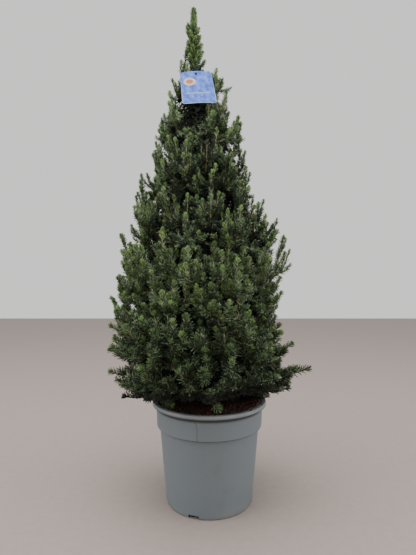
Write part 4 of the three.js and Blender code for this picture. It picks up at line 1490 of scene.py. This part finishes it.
@dataclass(frozen=True)
class Crown:
    """The crown: limbs, twigs and needle-bearing shoots of every mass, and the leader at the top.

    Lists of seven numbers have one for each tier from the lowest, and the leader takes the last.
    """

    rule: CrownRule
    tag: Tag

    # Twigs: the surface that each gets, where in its sector it may end, how far short of the outline
    # it may stop, where it forks off and how much steeper than its cone it grows.
    main_area: float = 4500.0
    fine_area: float = 900.0
    deep_area: float = 540.0
    fewest_main: int = 4
    fewest_fine: int = 6
    main_levels: Span = (0.1, 0.9)
    main_width: float = 0.88
    main_short: float = 0.1
    fine_levels: Span = (-0.02, 1.02)
    fine_width: float = 1.14
    fine_short: Span = (0.03, 0.34)
    deep_short: Span = (0.3, 0.6)
    deep_short_above: Span = (0.3, 0.8)
    slack: float = 0.07
    slack_tiers: tuple[int, int] = (2, 4)
    forks: Span = (0.3, 0.75)
    root_clear: float = 14.0
    steeper: float = 32.0
    broadside_steeper: float = 24.0
    limb_sag: float = 4.0

    # Shoots: the ends of the twigs and, at steps back from each tip, their side shoots.
    shoot_length: float = 56.0
    laterals: int = 3
    lateral_length: float = 28.0
    lateral_lengths: Span = (0.7, 1.25)
    lateral_angle: float = 33.0
    lateral_play: float = 16.0
    lateral_first: float = 14.0
    lateral_step: float = 13.0
    lateral_lift: float = 0.45

    # Needles: how they stand low and high in the crown, on side shoots, inside and on the limbs.
    low_habit: Habit = Habit(16.0, 0.6, 60.0, 24.0, 4.0, gather=1.7, parted=0.95)
    high_habit: Habit = Habit(10.0, 0.6, 46.0, 12.0, 7.0, gather=1.7, parted=0.85)
    habit_tiers: int = 3
    side_length: float = 0.92
    side_spacing: float = 0.85
    # Side shoots get more of the deep green, as painted shade deeper in the crown.
    painted_side_shoot_shade: float = 0.1
    inner_habit: Habit = Habit(16.0, 2.1, 74.0, 40.0)
    inner_young: float = 32.0
    limb_habit: Habit = Habit(26.0, 0.5, 78.0, 66.0)
    lean_play: float = 12.0
    length_play: Span = (0.85, 1.12)
    tip_fade: float = 5.0
    tip_shrink: float = 0.42
    parted_from: float = 7.0
    parted_shrink: float = 0.45
    parted_power: float = 0.35
    group: int = 3
    dark_from: float = 4.0
    # More of the deep green on the underside of shoots, as painted shade.
    painted_underside_shade: float = 0.35
    piece_limit: int = 48000

    # Greens: shares and shifts for each tier, and limits between the greens that twigs are dealt.
    dark_shares: tuple[float, ...] = (0.56, 0.46, 0.14, 0.32, 0.38, 0.20, 0.14)
    pale_shares: tuple[float, ...] = (0.20, 0.22, 0.24, 0.12, 0.08, 0.12, 0.14)
    lighter: tuple[float, ...] = (-0.08, -0.04, 0.08, -0.14, -0.22, 0.04, 0.04)
    younger: tuple[float, ...] = (-0.80, -0.44, 0.04, -0.10, -0.04, 0.10, 0.16)
    patches: float = 0.16
    patch_young: float = 1.5
    # Twigs at the crown's sides are dealt lighter greens and more young tips: painted light.
    broadside: float = 0.6
    painted_side_light_older: float = 0.45
    painted_side_light_young: float = 0.2
    deep_limit: float = 0.24
    mature_limit: float = 0.82
    plain_limit: float = 0.22
    young_limit: float = 0.66
    keen: float = 0.15

    # The crown's lowest edge, and the shade over it in front.
    side_lowest: float = 212.0
    front_lowest: float = 234.0
    lifts: Span = (18.0, 42.0)
    lift_radius: float = 150.0
    root_dip: float = 16.0
    under_shade: float = 100.0
    inner_light: float = 0.3
    grey_light: float = 0.2

    # Bark of twigs, with the radii at root and tip of main twigs, finer twigs and side shoots, of the
    # top shoot and those round it, of the sprigs, and of standing shoots and their side shoots.
    twig_radii: tuple[Span, ...] = ((2.2, 0.9), (1.2, 0.7), (0.8, 0.5))
    leader_radii: tuple[Span, ...] = ((2.2, 1.0), (1.2, 0.7))
    sprig_radii: Span = (0.8, 0.5)
    standing_radii: tuple[Span, ...] = ((1.6, 0.8), (0.9, 0.6))
    old_bark: BarkFinish = BarkFinish("twig_bark", (0.060, 0.042, 0.029), (0.030, 0.021, 0.016), 400.0)
    young_bark: BarkFinish = BarkFinish("young_bark", (0.325, 0.310, 0.165), (0.240, 0.210, 0.110), 300.0)
    young_radii: Span = (1.6, 1.1)
    young_length: float = 54.0
    young_clear: float = 40.0

    # Two sprigs in front of the compost, by the places of their tips.
    low_sprigs: tuple[Place, ...] = ((-80.0, -96.0, 243.0), (21.0, -112.0, 240.0))
    sprig_habit: Habit = Habit(13.5, 0.5, 62.0, 15.0, 3.0, 0.4, 0.12)
    sprig_needled: float = 28.0
    sprig_sag: float = 6.0

    # Single shoots that stand out of the outline, by their tips' radius, bearing and height.
    standing_shoots: tuple[Place, ...] = (
        (130.0, 0.0, 677.0), (168.0, -8.0, 636.0), (188.0, 5.0, 602.0), (195.0, -4.0, 567.0),
        (186.0, 180.0, 604.0), (186.0, 188.0, 566.0), (187.0, 172.0, 548.0), (199.0, 184.0, 505.0),
        (202.0, 177.0, 480.0), (90.0, -5.0, 870.0), (150.0, 183.0, 690.0), (136.0, 186.0, 738.0),
        (106.0, 4.0, 760.0), (168.0, 6.0, 440.0), (212.0, 181.0, 372.0), (190.0, -150.0, 560.0),
        (170.0, -82.8, 572.0), (178.0, -95.0, 492.0), (184.0, -82.0, 442.0), (150.0, -70.0, 640.0),
        (176.0, -102.0, 494.0), (108.0, 172.0, 690.0), (130.0, 171.0, 590.0), (156.0, 173.0, 478.0),
        (26.0, 197.0, 1014.0), (168.0, 200.0, 580.0), (100.0, 207.0, 796.0), (214.0, 184.0, 460.0),
        (213.0, 177.0, 426.0), (166.0, 186.0, 478.0), (142.0, 182.0, 584.0),
    )
    standing_length: float = 92.0
    standing_habit: Habit = Habit(10.0, 0.5, 50.0, 14.0, 9.0, 0.2, 0.15, 1.3, 0.7)
    standing_tier: int = 2

    # Gaps beside the leader, beside and under the tag, and in the outline at the right.
    gaps: tuple[Gap, ...] = (
        Gap(-120.0, -54.0, 90.0, 972.0, 1110.0),
        Gap(-72.0, -55.0, 90.0, 955.0, 1012.0),
        Gap(-17.0, 9.0, 90.0, 968.0, 1002.0),
        Gap(8.0, 60.0, 90.0, 996.0, 1040.0),
        Gap(46.0, 90.0, 90.0, 880.0, 935.0),
        Gap(-54.0, -14.0, -14.0, 864.0, 908.0),
        Gap(-50.0, -18.0, -20.0, 832.0, 864.0),
        Gap(114.0, 150.0, 90.0, 690.0, 730.0),
        Gap(160.0, 230.0, 90.0, 516.0, 554.0),
        Gap(154.0, 230.0, 90.0, 438.0, 482.0),
        Gap(184.0, 300.0, 200.0, 322.0, 366.0),
    )

    # The leader: its top shoot, the steep shoots round it, and old needles along the trunk below, near-black
    # as painted shade.
    leader_foot: float = 930.0
    leader_tip: float = 1121.0
    leader_heights: Span = (978.0, 1094.0)
    leader_shoots: int = 44
    leader_length: float = 38.0
    leader_rise: float = 60.0
    leader_bearing: float = -50.0
    leader_short: Span = (0.62, 1.0)
    leader_aside: float = -6.0
    leader_tier: int = 6
    leader_habit: Habit = Habit(9.0, 0.4, 48.0, 14.0, 14.0, 0.15, 0.15)
    top_habit: Habit = Habit(11.0, 0.16, 48.0, 30.0, 40.0, 0.1, 0.1)
    trunk_habit: Habit = Habit(26.0, 0.3, 76.0, 50.0)
    trunk_cover: Span = (300.0, 975.0)

    def curves_to(self, tips: Array, level: Array, bearing: Array, roots: Array, sag: Array) -> Twigs:
        """Twigs that leave their roots freely and arrive at their tips steeper than their cones.

        Args:
            tips: Their tips.
            level: The number of the cone at each tip.
            bearing: The bearing of each tip.
            roots: Their roots.
            sag: How far each hangs down in its middle.

        Returns:
            The twigs.
        """
        steeper = self.steeper + self.broadside_steeper * np.abs(np.sin(np.radians(bearing)))
        way = self.rule.growth(level, bearing, steeper * np.clip(level / 2, 0.3, 1))
        far = np.linalg.norm(tips - roots, axis=-1, keepdims=True)
        turn = tips - way * far * self.rule.bend
        turn[:, 2] -= sag
        return Twigs(roots, turn, tips)

    def main_count(self, mass: Mass) -> int:
        """How many twigs the solid of a mass has, apart from long shoots."""
        return max(self.fewest_main, round(self.rule.surface(mass) / self.main_area))

    def main_twigs(self, mass: Mass, end: Array) -> Twigs:
        """The twigs that the solid of a mass has too, with its long shoots.

        Args:
            mass: The mass.
            end: The end of its stem.

        Returns:
            The twigs.
        """
        count = np.arange(self.main_count(mass))
        u, v = spread(count + mass.tier * self.rule.tier_skip + mass.number * self.rule.mass_skip)
        level = mass.tier + mix(*self.main_levels, v)
        bearing = mass.middle + (u - 0.5) * mass.wide * self.main_width
        short = self.main_short * (1 - shake(mass.tier, mass.number, count))
        radius = self.rule.edge(level, bearing) * (1 - short)
        tips = self.rule.point(radius, bearing, self.rule.cone_height(level, radius))
        sag = self.rule.sag * shake(count, mass.tier, mass.number)
        for tier, way, height, reach in self.rule.long_shoots:
            off = (way - mass.middle + 180) % 360 - 180
            if tier == mass.tier and abs(off) < mass.wide / 2:
                level, bearing = np.append(level, float(tier)), np.append(bearing, way)
                tip = self.rule.point(np.array([reach]), np.array([way]), np.array([height]))
                tips, sag = np.concatenate([tips, tip]), np.append(sag, self.rule.sag)
        return self.curves_to(tips, level, bearing, np.broadcast_to(end, tips.shape).copy(), sag)

    def more_twigs(self, mass: Mass, main: Twigs, first: int, area: float, short: Span) -> Twigs:
        """The same spread carried on: finer twigs, each from the main twig whose tip is nearest.

        Args:
            mass: The mass.
            main: Its main twigs.
            first: The number in the spread that they start from.
            area: The part of the crown's surface that each gets.
            short: Least and largest share of the reach by which a tip falls short of the outline.

        Returns:
            The finer twigs.
        """
        count = first + np.arange(max(self.fewest_fine, round(self.rule.surface(mass) / area)))
        u, v = spread(count + mass.tier * self.rule.tier_skip + mass.number * self.rule.mass_skip)
        level = mass.tier + mix(*self.fine_levels, v)
        bearing = mass.middle + (u - 0.5) * mass.wide * self.fine_width
        play = mix(*short, shake(mass.tier, mass.number, count))
        slack = self.slack_tiers[0] <= mass.tier <= self.slack_tiers[1]
        play = play + self.slack * np.cos(np.radians(bearing)) ** 4 * slack
        radius = self.rule.edge(level, bearing) * (1 - play)
        tips = self.rule.point(radius, bearing, self.rule.cone_height(level, radius))
        parents = main.take(nearest(tips, main.tip))
        roots = parents.at(mix(*self.forks, shake(count, 3.0, mass.number + 1.0)))
        roots[:, 2] = np.maximum(roots[:, 2], self.lowest(roots) + self.root_clear)
        sag = 0.5 * self.rule.sag * shake(count, mass.tier, mass.number)
        return self.curves_to(tips, level, bearing, roots, sag)

    def side_shoots(self, twigs: Twigs, seed: float) -> Twigs:
        """Short shoots off the outer part of each twig, turned round it by the golden angle.

        Args:
            twigs: The twigs that carry them.
            seed: Sets the run of repeatable numbers.

        Returns:
            The side shoots.
        """
        number = np.repeat(np.arange(len(twigs)), self.laterals)
        order = np.tile(np.arange(self.laterals), len(twigs))
        parents = twigs.take(number)
        step = self.lateral_step * (order + 0.8 * (shake(number, order, seed) - 0.5))
        back = self.lateral_first + self.lateral_length * 0.75 + step
        share = np.clip(1 - back / parents.length(), 0.1, 0.97)
        along = parents.along(share)
        across, third = side_vectors(along)
        turn = np.radians(GOLDEN_TURN * (order + 1) + 360 * shake(number, 5.0, seed))[:, None]
        play = self.lateral_play * (shake(number, order, seed + 1) - 0.5)
        angle = np.radians(self.lateral_angle + play)[:, None]
        way = along * np.cos(angle) + (across * np.cos(turn) + third * np.sin(turn)) * np.sin(angle)
        size = (self.lateral_length * mix(*self.lateral_lengths, shake(number, order, seed + 2)))[:, None]
        root = parents.at(share)
        tip_way = unit(way * 0.8 + along * 0.4 + self.lateral_lift * UP)
        return Twigs(root, root + way * size * 0.5, root + tip_way * size)

    def leader_twigs(self) -> tuple[Twigs, Twigs]:
        """The top shoot along the axis, and the steep shoots round it, placed by the golden angle.

        Returns:
            The top shoot and the shoots round it.
        """
        number = np.arange(self.leader_shoots)
        height = mix(*self.leader_heights, (number + 0.5) / self.leader_shoots)
        bearing = self.leader_bearing + GOLDEN_TURN * number
        radius = self.rule.reach(height, bearing) * mix(*self.leader_short, shake(number, 1.0, 2.0))
        tips = self.rule.point(radius, bearing, height)
        way = slanted(bearing, self.leader_rise)
        climb = self.leader_length * math.sin(math.radians(self.leader_rise))
        roots = self.rule.point(0 * height, bearing, height - climb)
        aside = np.array([self.leader_aside, 0.0, 0.0])
        around = Twigs(roots + aside, tips - way * self.leader_length * 0.5 + aside, tips + aside)
        line = np.array([self.leader_foot, (self.leader_foot + self.leader_tip) / 2, self.leader_tip])
        axis = self.rule.on_axis(line)
        return Twigs(axis[:1], axis[1:2] + aside, axis[2:] + aside * 0.5), around

    def open_room(self, points: Array) -> Array:
        """Whether points are clear of the tag and keep out of the gaps."""
        return self.tag.clear(points) & ~np.any([gap.holds(points) for gap in self.gaps], axis=0)

    def front(self, points: Array) -> Array:
        """How far points stand in front of the trunk: 0.25 - 1.3 y / radius, from 0 to 1."""
        return np.clip(0.25 - 1.3 * points[..., 1] / from_axis(points), 0, 1)

    def lowest(self, points: Array) -> Array:
        """The crown's lowest edge at points: in front it rises with the distance from the axis.

        Args:
            points: The points.

        Returns:
            The height of the edge over or under each.
        """
        radius = from_axis(points)
        lift = mix(*self.lifts, (1 + points[..., 0] / radius) / 2)
        in_front = self.front_lowest + lift * radius / self.lift_radius
        return mix(self.side_lowest, in_front, self.front(points))

    def kept(self, twigs: Twigs) -> Twigs:
        """The twigs whose tips stand in the open, and that don't hang below the crown's lowest edge.

        Args:
            twigs: The twigs.

        Returns:
            Those that stay.
        """
        clear = self.open_room(twigs.tip)
        for share, dip in ((0.45, self.root_dip), (0.7, 0.0), (1.0, 0.0)):
            points = twigs.at(share)
            clear &= points[:, 2] > self.lowest(points) - dip
        return twigs.take(np.flatnonzero(clear))

    def needles(self, gathered: NeedleField, twigs: Twigs, bare: Array | float, habit: Habit,
                greens: tuple[Whole, Whole], seed: float, held_up: bool = True) -> None:
        """Needles on the outer part of each twig, one every spacing, turned by the golden angle.

        A needle's way is cos(lean) along the twig plus sin(lean) to its side. The lean runs from the
        foot's to the tip's by e to the power of the distance from the tip, and needles shorten by the
        same. On the side away from the trunk they part, so that the young stem shows.

        Args:
            gathered: Where the needles go.
            twigs: The twigs.
            bare: Share of each twig that is bare.
            habit: How the needles stand.
            greens: The green of each twig's needles, and that of the young ones at its tip.
            seed: Sets the run of repeatable numbers.
            held_up: Whether needles keep above the crown's lowest edge and darken towards it.
        """
        length = twigs.length() * (1 - bare)
        per_twig = np.maximum(3, np.round(length / habit.spacing)).astype(int)
        number = np.repeat(np.arange(len(twigs)), per_twig)
        order = np.arange(len(number)) - np.repeat(np.cumsum(per_twig) - per_twig, per_twig)
        part = 1 - (1 - (order + 0.5) / per_twig[number]) ** habit.gather
        from_tip = (1 - part) * length[number]
        near_tip = np.exp(-from_tip / self.tip_fade)
        carriers = twigs.take(number)
        share = mix(np.broadcast_to(bare, len(twigs))[number], 1.0, part)
        along = carriers.along(share)
        across, third = side_vectors(along)
        turn = np.radians(GOLDEN_TURN * order + 360 * shake(number, 1.0, seed))[:, None]
        outward = across * np.cos(turn) + third * np.sin(turn)
        play = self.lean_play * (shake(number, order, seed) - 0.5)
        lean = np.radians(mix(habit.foot_lean, habit.tip_lean, near_tip) + play)[:, None]
        way = along * np.cos(lean) + outward * np.sin(lean)
        facing = np.clip(np.sum(outward * bearings_of(carriers.tip), axis=-1), 0, 1)
        facing *= from_tip > self.parted_from
        size = habit.length * mix(*self.length_play, shake(order, number, seed + 3))
        size = size * (1 - self.tip_shrink * near_tip)
        size *= 1 - habit.parted * self.parted_shrink * facing
        root = carriers.at(share)
        tip = root + way * size[:, None]
        dice = shake(order // self.group, number, seed + 5)
        light = self.light(tip, dice) if held_up else np.ones(len(tip))
        # Painted shade: groups on a shoot's underside are dealt the deep green more often.
        dark = habit.dark - self.painted_underside_shade * outward[:, 2]
        chosen = (greens[0][number], greens[1][number])
        green = self.needle_greens(habit, chosen, from_tip, dice < dark, dice > 1 - habit.pale, light)
        keep = self.tag.clear(tip) & ((tip[:, 2] > self.lowest(tip)) | (not held_up))
        keep &= shake(order, number, seed + 7) > habit.parted * facing**self.parted_power
        gathered.add(root[keep], way[keep], size[keep], green[keep])

    def light(self, points: Array, dice: Array) -> Array:
        """The light at points in front, low over the crown's lowest edge: below 1 they are in shade.

        It is the height over the edge as a share of the shade's depth, divided by the dice, so that
        the shade thins out upwards, and by how far in front the points stand.

        Args:
            points: The points.
            dice: A number from 0 to 1 for each.

        Returns:
            The light.
        """
        over = (points[:, 2] - self.lowest(points)) / self.under_shade
        ahead = np.clip(1.8 * self.front(points) - 0.8, 0, 1)
        return over / np.maximum(dice * ahead, 0.01)

    def needle_greens(self, habit: Habit, greens: tuple[Whole, Whole], from_tip: Array, dark: Array,
                      pale: Array, light: Array) -> Whole:
        """The green of each needle: young at the tip, then dark groups, then shade, then pale groups.

        Args:
            habit: How the needles stand.
            greens: The greens that each one's twig was dealt, for its older and its young needles.
            from_tip: How far back from the tip it stands.
            dark: Whether its group is dealt the deep green, if it is old enough: at random, and more often on
                a shoot's underside as painted shade.
            pale: Whether its group is dealt the grey green, if it has light enough.
            light: The light that it gets.

        Returns:
            The number of each needle's green.
        """
        older, young = greens
        turning = (from_tip < habit.young * 2) & (young == Green.FRESH.number)
        green = np.where(turning, Green.YOUNG.number, older)
        green = np.where(from_tip < habit.young, young, green)
        dark = dark & (from_tip > self.dark_from) & (habit.dark > 0)
        green = np.where(dark, Green.DEEP.number, green)
        # Painted shade: needles low over the crown's lowest edge in front get the deep green, the lowest the
        # near-black inner green, and none the grey.
        green = np.where((light < 1) & (green != Green.INNER.number), Green.DEEP.number, green)
        green = np.where(light < self.inner_light, Green.INNER.number, green)
        return np.where(pale & (light > self.grey_light), Green.GREY.number, green)

    def dealt(self, twigs: Twigs, seed: float, tier: int, keen: float = 0.0) -> tuple[Whole, Whole]:
        """The greens of twigs, dealt at random: older and greyer low down, younger higher up.

        The dice of each are shifted to the lighter at the crown's sides, as painted light where the sides
        catch more light, and by a patch that is the product of two waves round and up the crown.

        Args:
            twigs: The twigs.
            seed: Sets the run of repeatable numbers.
            tier: The tier's number.
            keen: How much more often a tip is young.

        Returns:
            Each twig's green and its tip's.
        """
        # Painted light: twigs at the crown's sides are dealt lighter greens.
        broadside = np.abs(bearings_of(twigs.tip)[:, 0]) - self.broadside
        bearing, height = np.arctan2(twigs.tip[:, 1], twigs.tip[:, 0]), twigs.tip[:, 2]
        patch = self.patches * np.sin(5 * bearing + height / 31.0)
        patch *= np.sin(3 * bearing - height / 47.0)
        number = np.arange(len(twigs))
        dice = shake(number, seed, 11.0) + self.painted_side_light_older * broadside + self.lighter[tier] + patch
        tip_dice = shake(number, seed, 12.0) + self.painted_side_light_young * broadside + self.younger[tier]
        tip_dice += keen + self.patch_young * patch
        older = [dice < self.deep_limit, dice < self.mature_limit]
        green = np.select(older, [Green.DEEP.number, Green.MATURE.number], Green.GREY.number)
        plain = [tip_dice < self.plain_limit, tip_dice < self.young_limit]
        return green, np.select(plain, [green, Green.YOUNG.number], Green.FRESH.number)

    def build_needles(self, gathered: NeedleField) -> None:
        """Every needle as a blade of four faces, each green apart, in pieces under the limit.

        A blade is a wedge: an edge across at its root, and a shorter edge turned square at its tip.

        Args:
            gathered: The needles.
        """
        root, way = np.concatenate(gathered.root), np.concatenate(gathered.way)
        length, green = np.concatenate(gathered.length), np.concatenate(gathered.green)
        log.info("needles: %d", len(root))
        across, third = side_vectors(way)
        turn = (shake(np.arange(len(root)), 2.0, 9.0) * math.pi)[:, None]
        wide = across * np.cos(turn) + third * np.sin(turn)
        narrow = np.cross(way, wide)
        widths = np.array([(finish.value.root_width, finish.value.tip_width) for finish in Green])
        wide, narrow = wide * widths[green, :1] / 2, narrow * widths[green, 1:] / 2
        tip = root + way * length[:, None]
        corners = np.stack([root - wide, root + wide, tip - narrow, tip + narrow], axis=1)
        blade = np.array([[0, 2, 1], [0, 1, 3], [0, 3, 2], [1, 2, 3]])
        replaced = [f"foliage_{mass.label}" for mass in self.rule.all_masses()] + ["foliage_leader"]
        for kind, finish in enumerate(Green):
            chosen = corners[green == kind]
            material = finish.value.material()
            slot = "young_needles" if finish in (Green.YOUNG, Green.FRESH) else "needles"
            for part, first in enumerate(range(0, len(chosen), self.piece_limit)):
                some = chosen[first:first + self.piece_limit]
                faces = [copies(blade, len(some), 4)]
                piece = make_piece(f"{finish.value.name}_{part + 1}", some.reshape(-1, 3), faces, material)
                settle(piece, slot, *replaced)
                replaced = []

    def build_twigs(self, name: str, finish: BarkFinish, stems: Stems, end: float | None = None) -> None:
        """Thin three-sided twigs along every curve.

        Args:
            name: The piece's name.
            finish: Its bark.
            stems: Twigs with the radius at their roots and at their tips.
            end: Length at each tip that the piece keeps to, or None for whole twigs.
        """
        points, faces, start = [], [], 0
        for twigs, root, tip in stems:
            from_share = twigs.every(0.0) if end is None else twigs.bare(end)
            part = np.linspace(0, 1, 4)
            share = mix(from_share[:, None], 0.985, part)
            centres = np.stack([twigs.at(column) for column in share.T], axis=1)
            radii = np.broadcast_to(mix(root, tip, part), centres.shape[:2])
            some, some_faces = tubes(centres, radii, 3)
            faces += [face + start for face in some_faces]
            points.append(some)
            start += len(some)
        settle(make_piece(name, np.concatenate(points), faces, finish.material(), True), "bark")

    def grow_leader(self, gathered: NeedleField) -> Stems:
        """The leader's shoots with short dense needles, and the old needles along the trunk, near-black as
        painted shade.

        Args:
            gathered: Where the needles go.

        Returns:
            Its twigs with their radii.
        """
        top, around = self.leader_twigs()
        around = around.take(np.flatnonzero(self.open_room(around.tip)))
        greens = self.dealt(around, 61.5, self.leader_tier)
        self.needles(gathered, around, 0.1, self.leader_habit, greens, 61.25)
        axis = self.rule.on_axis(np.linspace(*self.trunk_cover, 3))
        trunk = Twigs(axis[:1], axis[1:2], axis[2:])
        old = trunk.every(Green.INNER.number)
        self.needles(gathered, trunk, 0.0, self.trunk_habit, (old, old), 63.25)
        mature, young = top.every(Green.MATURE.number), top.every(Green.YOUNG.number)
        self.needles(gathered, top, 0.0, self.top_habit, (mature, young), 62.25)
        return [(twigs, *radii) for twigs, radii in zip((top, around), self.leader_radii)]

    def grow_mass(self, gathered: NeedleField, mass: Mass, limb: Twigs, seed: int) -> list[Twigs]:
        """The twigs, shoots and needles of one mass.

        Args:
            gathered: Where the needles go.
            mass: The mass.
            limb: Its limb, from the trunk's axis to the stem's end.
            seed: Sets the run of repeatable numbers.

        Returns:
            Main twigs, finer twigs and side shoots.
        """
        tier = mass.tier
        main, first = self.main_twigs(mass, limb.tip[0]), self.main_count(mass)
        fine = self.more_twigs(mass, main, first, self.fine_area, self.fine_short)
        deep_short = self.deep_short if mass.hung else self.deep_short_above
        deep = self.more_twigs(mass, main, first + len(fine), self.deep_area, deep_short)
        main, fine = self.kept(main), self.kept(fine)
        ends = Twigs.joined([main, fine])
        side = self.kept(self.side_shoots(ends, seed + 0.5))
        habit = self.low_habit.towards(self.high_habit, min(1.0, tier / self.habit_tiers))
        habit = replace(habit, dark=self.dark_shares[tier], pale=self.pale_shares[tier])
        greens = self.dealt(ends, seed, tier, self.keen)
        self.needles(gathered, ends, ends.bare(self.shoot_length, 0.02), habit, greens, seed + 0.25)
        # Side shoots: shorter needles, and more deep green as painted shade.
        short = replace(
            habit,
            length=habit.length * self.side_length,
            spacing=self.side_spacing,
            young=habit.young * 0.5,
            dark=habit.dark + self.painted_side_shoot_shade,
            gather=1.0,
            parted=0.0,
        )
        greens = self.dealt(side, seed + 0.5, tier, -self.keen)
        self.needles(gathered, side, 0.1, short, greens, seed + 0.75)
        # Inside twigs and the limb carry old needles in the near-black and deep greens, partly as painted
        # shade of the crown's inside.
        inside = replace(self.inner_habit, young=0.0 if tier < 2 else self.inner_young)
        greens = (deep.every(Green.INNER.number), deep.every(Green.DEEP.number))
        self.needles(gathered, deep, deep.bare(1.5 * self.shoot_length), inside, greens, seed + 0.9)
        old = limb.every(Green.INNER.number)
        self.needles(gathered, limb, 0.12, self.limb_habit, (old, old), seed + 0.95)
        return [main, fine, side]

    def grow_standing(self, gathered: NeedleField, mains: Twigs) -> Stems:
        """The longer shoots that stand out of the crown's outline, with their side shoots.

        Args:
            gathered: Where the needles go.
            mains: The main twigs of every mass.

        Returns:
            The shoots with their radii.
        """
        radius, bearing, height = np.array(self.standing_shoots).T
        tips = self.rule.point(radius, bearing, height)
        rise = np.interp(height, self.rule.cone_feet, self.rule.cone_rises) + self.steeper
        way = slanted(bearing, rise)
        middles = mains.at(0.6)
        roots = middles[nearest(tips - way * self.standing_length, middles)]
        shoots = Twigs(roots, tips - way * self.standing_length * 0.7, tips)
        side = self.side_shoots(shoots, 81.5)
        habit, tier = self.standing_habit, self.standing_tier
        bare = shoots.bare(self.standing_length)
        self.needles(gathered, shoots, bare, habit, self.dealt(shoots, 81.25, tier), 81.25)
        self.needles(gathered, side, 0.1, habit, self.dealt(side, 82.25, tier), 82.25)
        return [(twigs, *radii) for twigs, radii in zip((shoots, side), self.standing_radii)]

    def grow_sprigs(self, gathered: NeedleField, mains: Twigs) -> Stems:
        """The low sprigs that stand in front of the compost, each from the nearest main twig.

        Args:
            gathered: Where the needles go.
            mains: The main twigs of every mass.

        Returns:
            The sprigs with their radii.
        """
        tips = np.array(self.low_sprigs)
        middles = mains.at(0.5)
        roots = middles[nearest(tips, middles)]
        sprigs = Twigs(roots, mix(roots, tips, 0.6) - self.sprig_sag * UP, tips)
        greens = (sprigs.every(Green.MATURE.number), sprigs.every(Green.YOUNG.number))
        bare = sprigs.bare(self.sprig_needled)
        self.needles(gathered, sprigs, bare, self.sprig_habit, greens, 71.25, False)
        return [(sprigs, *self.sprig_radii)]

    def build(self) -> None:
        """Grows every mass and the leader, then makes limbs, twigs and needles."""
        gathered = NeedleField()
        limbs, grown = [], []
        masses = self.rule.all_masses()
        for seed, mass in enumerate(masses):
            stem = self.rule.stem(mass)
            middle = mix(stem[0], stem[2], 0.5) - self.limb_sag * UP
            limbs.append(Twigs(stem[:1], middle[None], stem[2:]))
            grown.append(self.grow_mass(gathered, mass, limbs[-1], seed))
        Wood(self.rule).build(Twigs.joined(limbs), [mass for mass in masses if mass.hung])
        main, fine, side = (Twigs.joined(kind) for kind in zip(*grown))
        stems = [(twigs, *radii) for twigs, radii in zip((main, fine, side), self.twig_radii)]
        stems += self.grow_leader(gathered) + self.grow_sprigs(gathered, main)
        standing = self.grow_standing(gathered, main)
        self.build_twigs("twigs", self.old_bark, stems + standing)
        ends = Twigs.joined([main, fine, standing[0][0]])
        ends = ends.take(np.flatnonzero(ends.tip[:, 2] > self.lowest(ends.tip) + self.young_clear))
        self.build_twigs("young_stems", self.young_bark, [(ends, *self.young_radii)], self.young_length)
        self.build_needles(gathered)


def write_sizes() -> None:
    """Updates the view layer; no sizes are written."""
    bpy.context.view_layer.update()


def main() -> None:
    """Builds the studio and the plant from the ground up."""
    logging.basicConfig(level=logging.INFO, format="%(message)s", force=True)
    Studio().build()
    pot = Pot()
    pot.build()
    Compost(pot).build()
    rule = CrownRule()
    tag = Tag()
    Crown(rule, tag).build()
    tag.build_card()
    strap_height = np.array(tag.place[2])
    tag.build_strap(float(Wood(rule).radius(strap_height)), float(rule.axis(strap_height)))
    write_sizes()


if __name__ == "__main__":
    main()
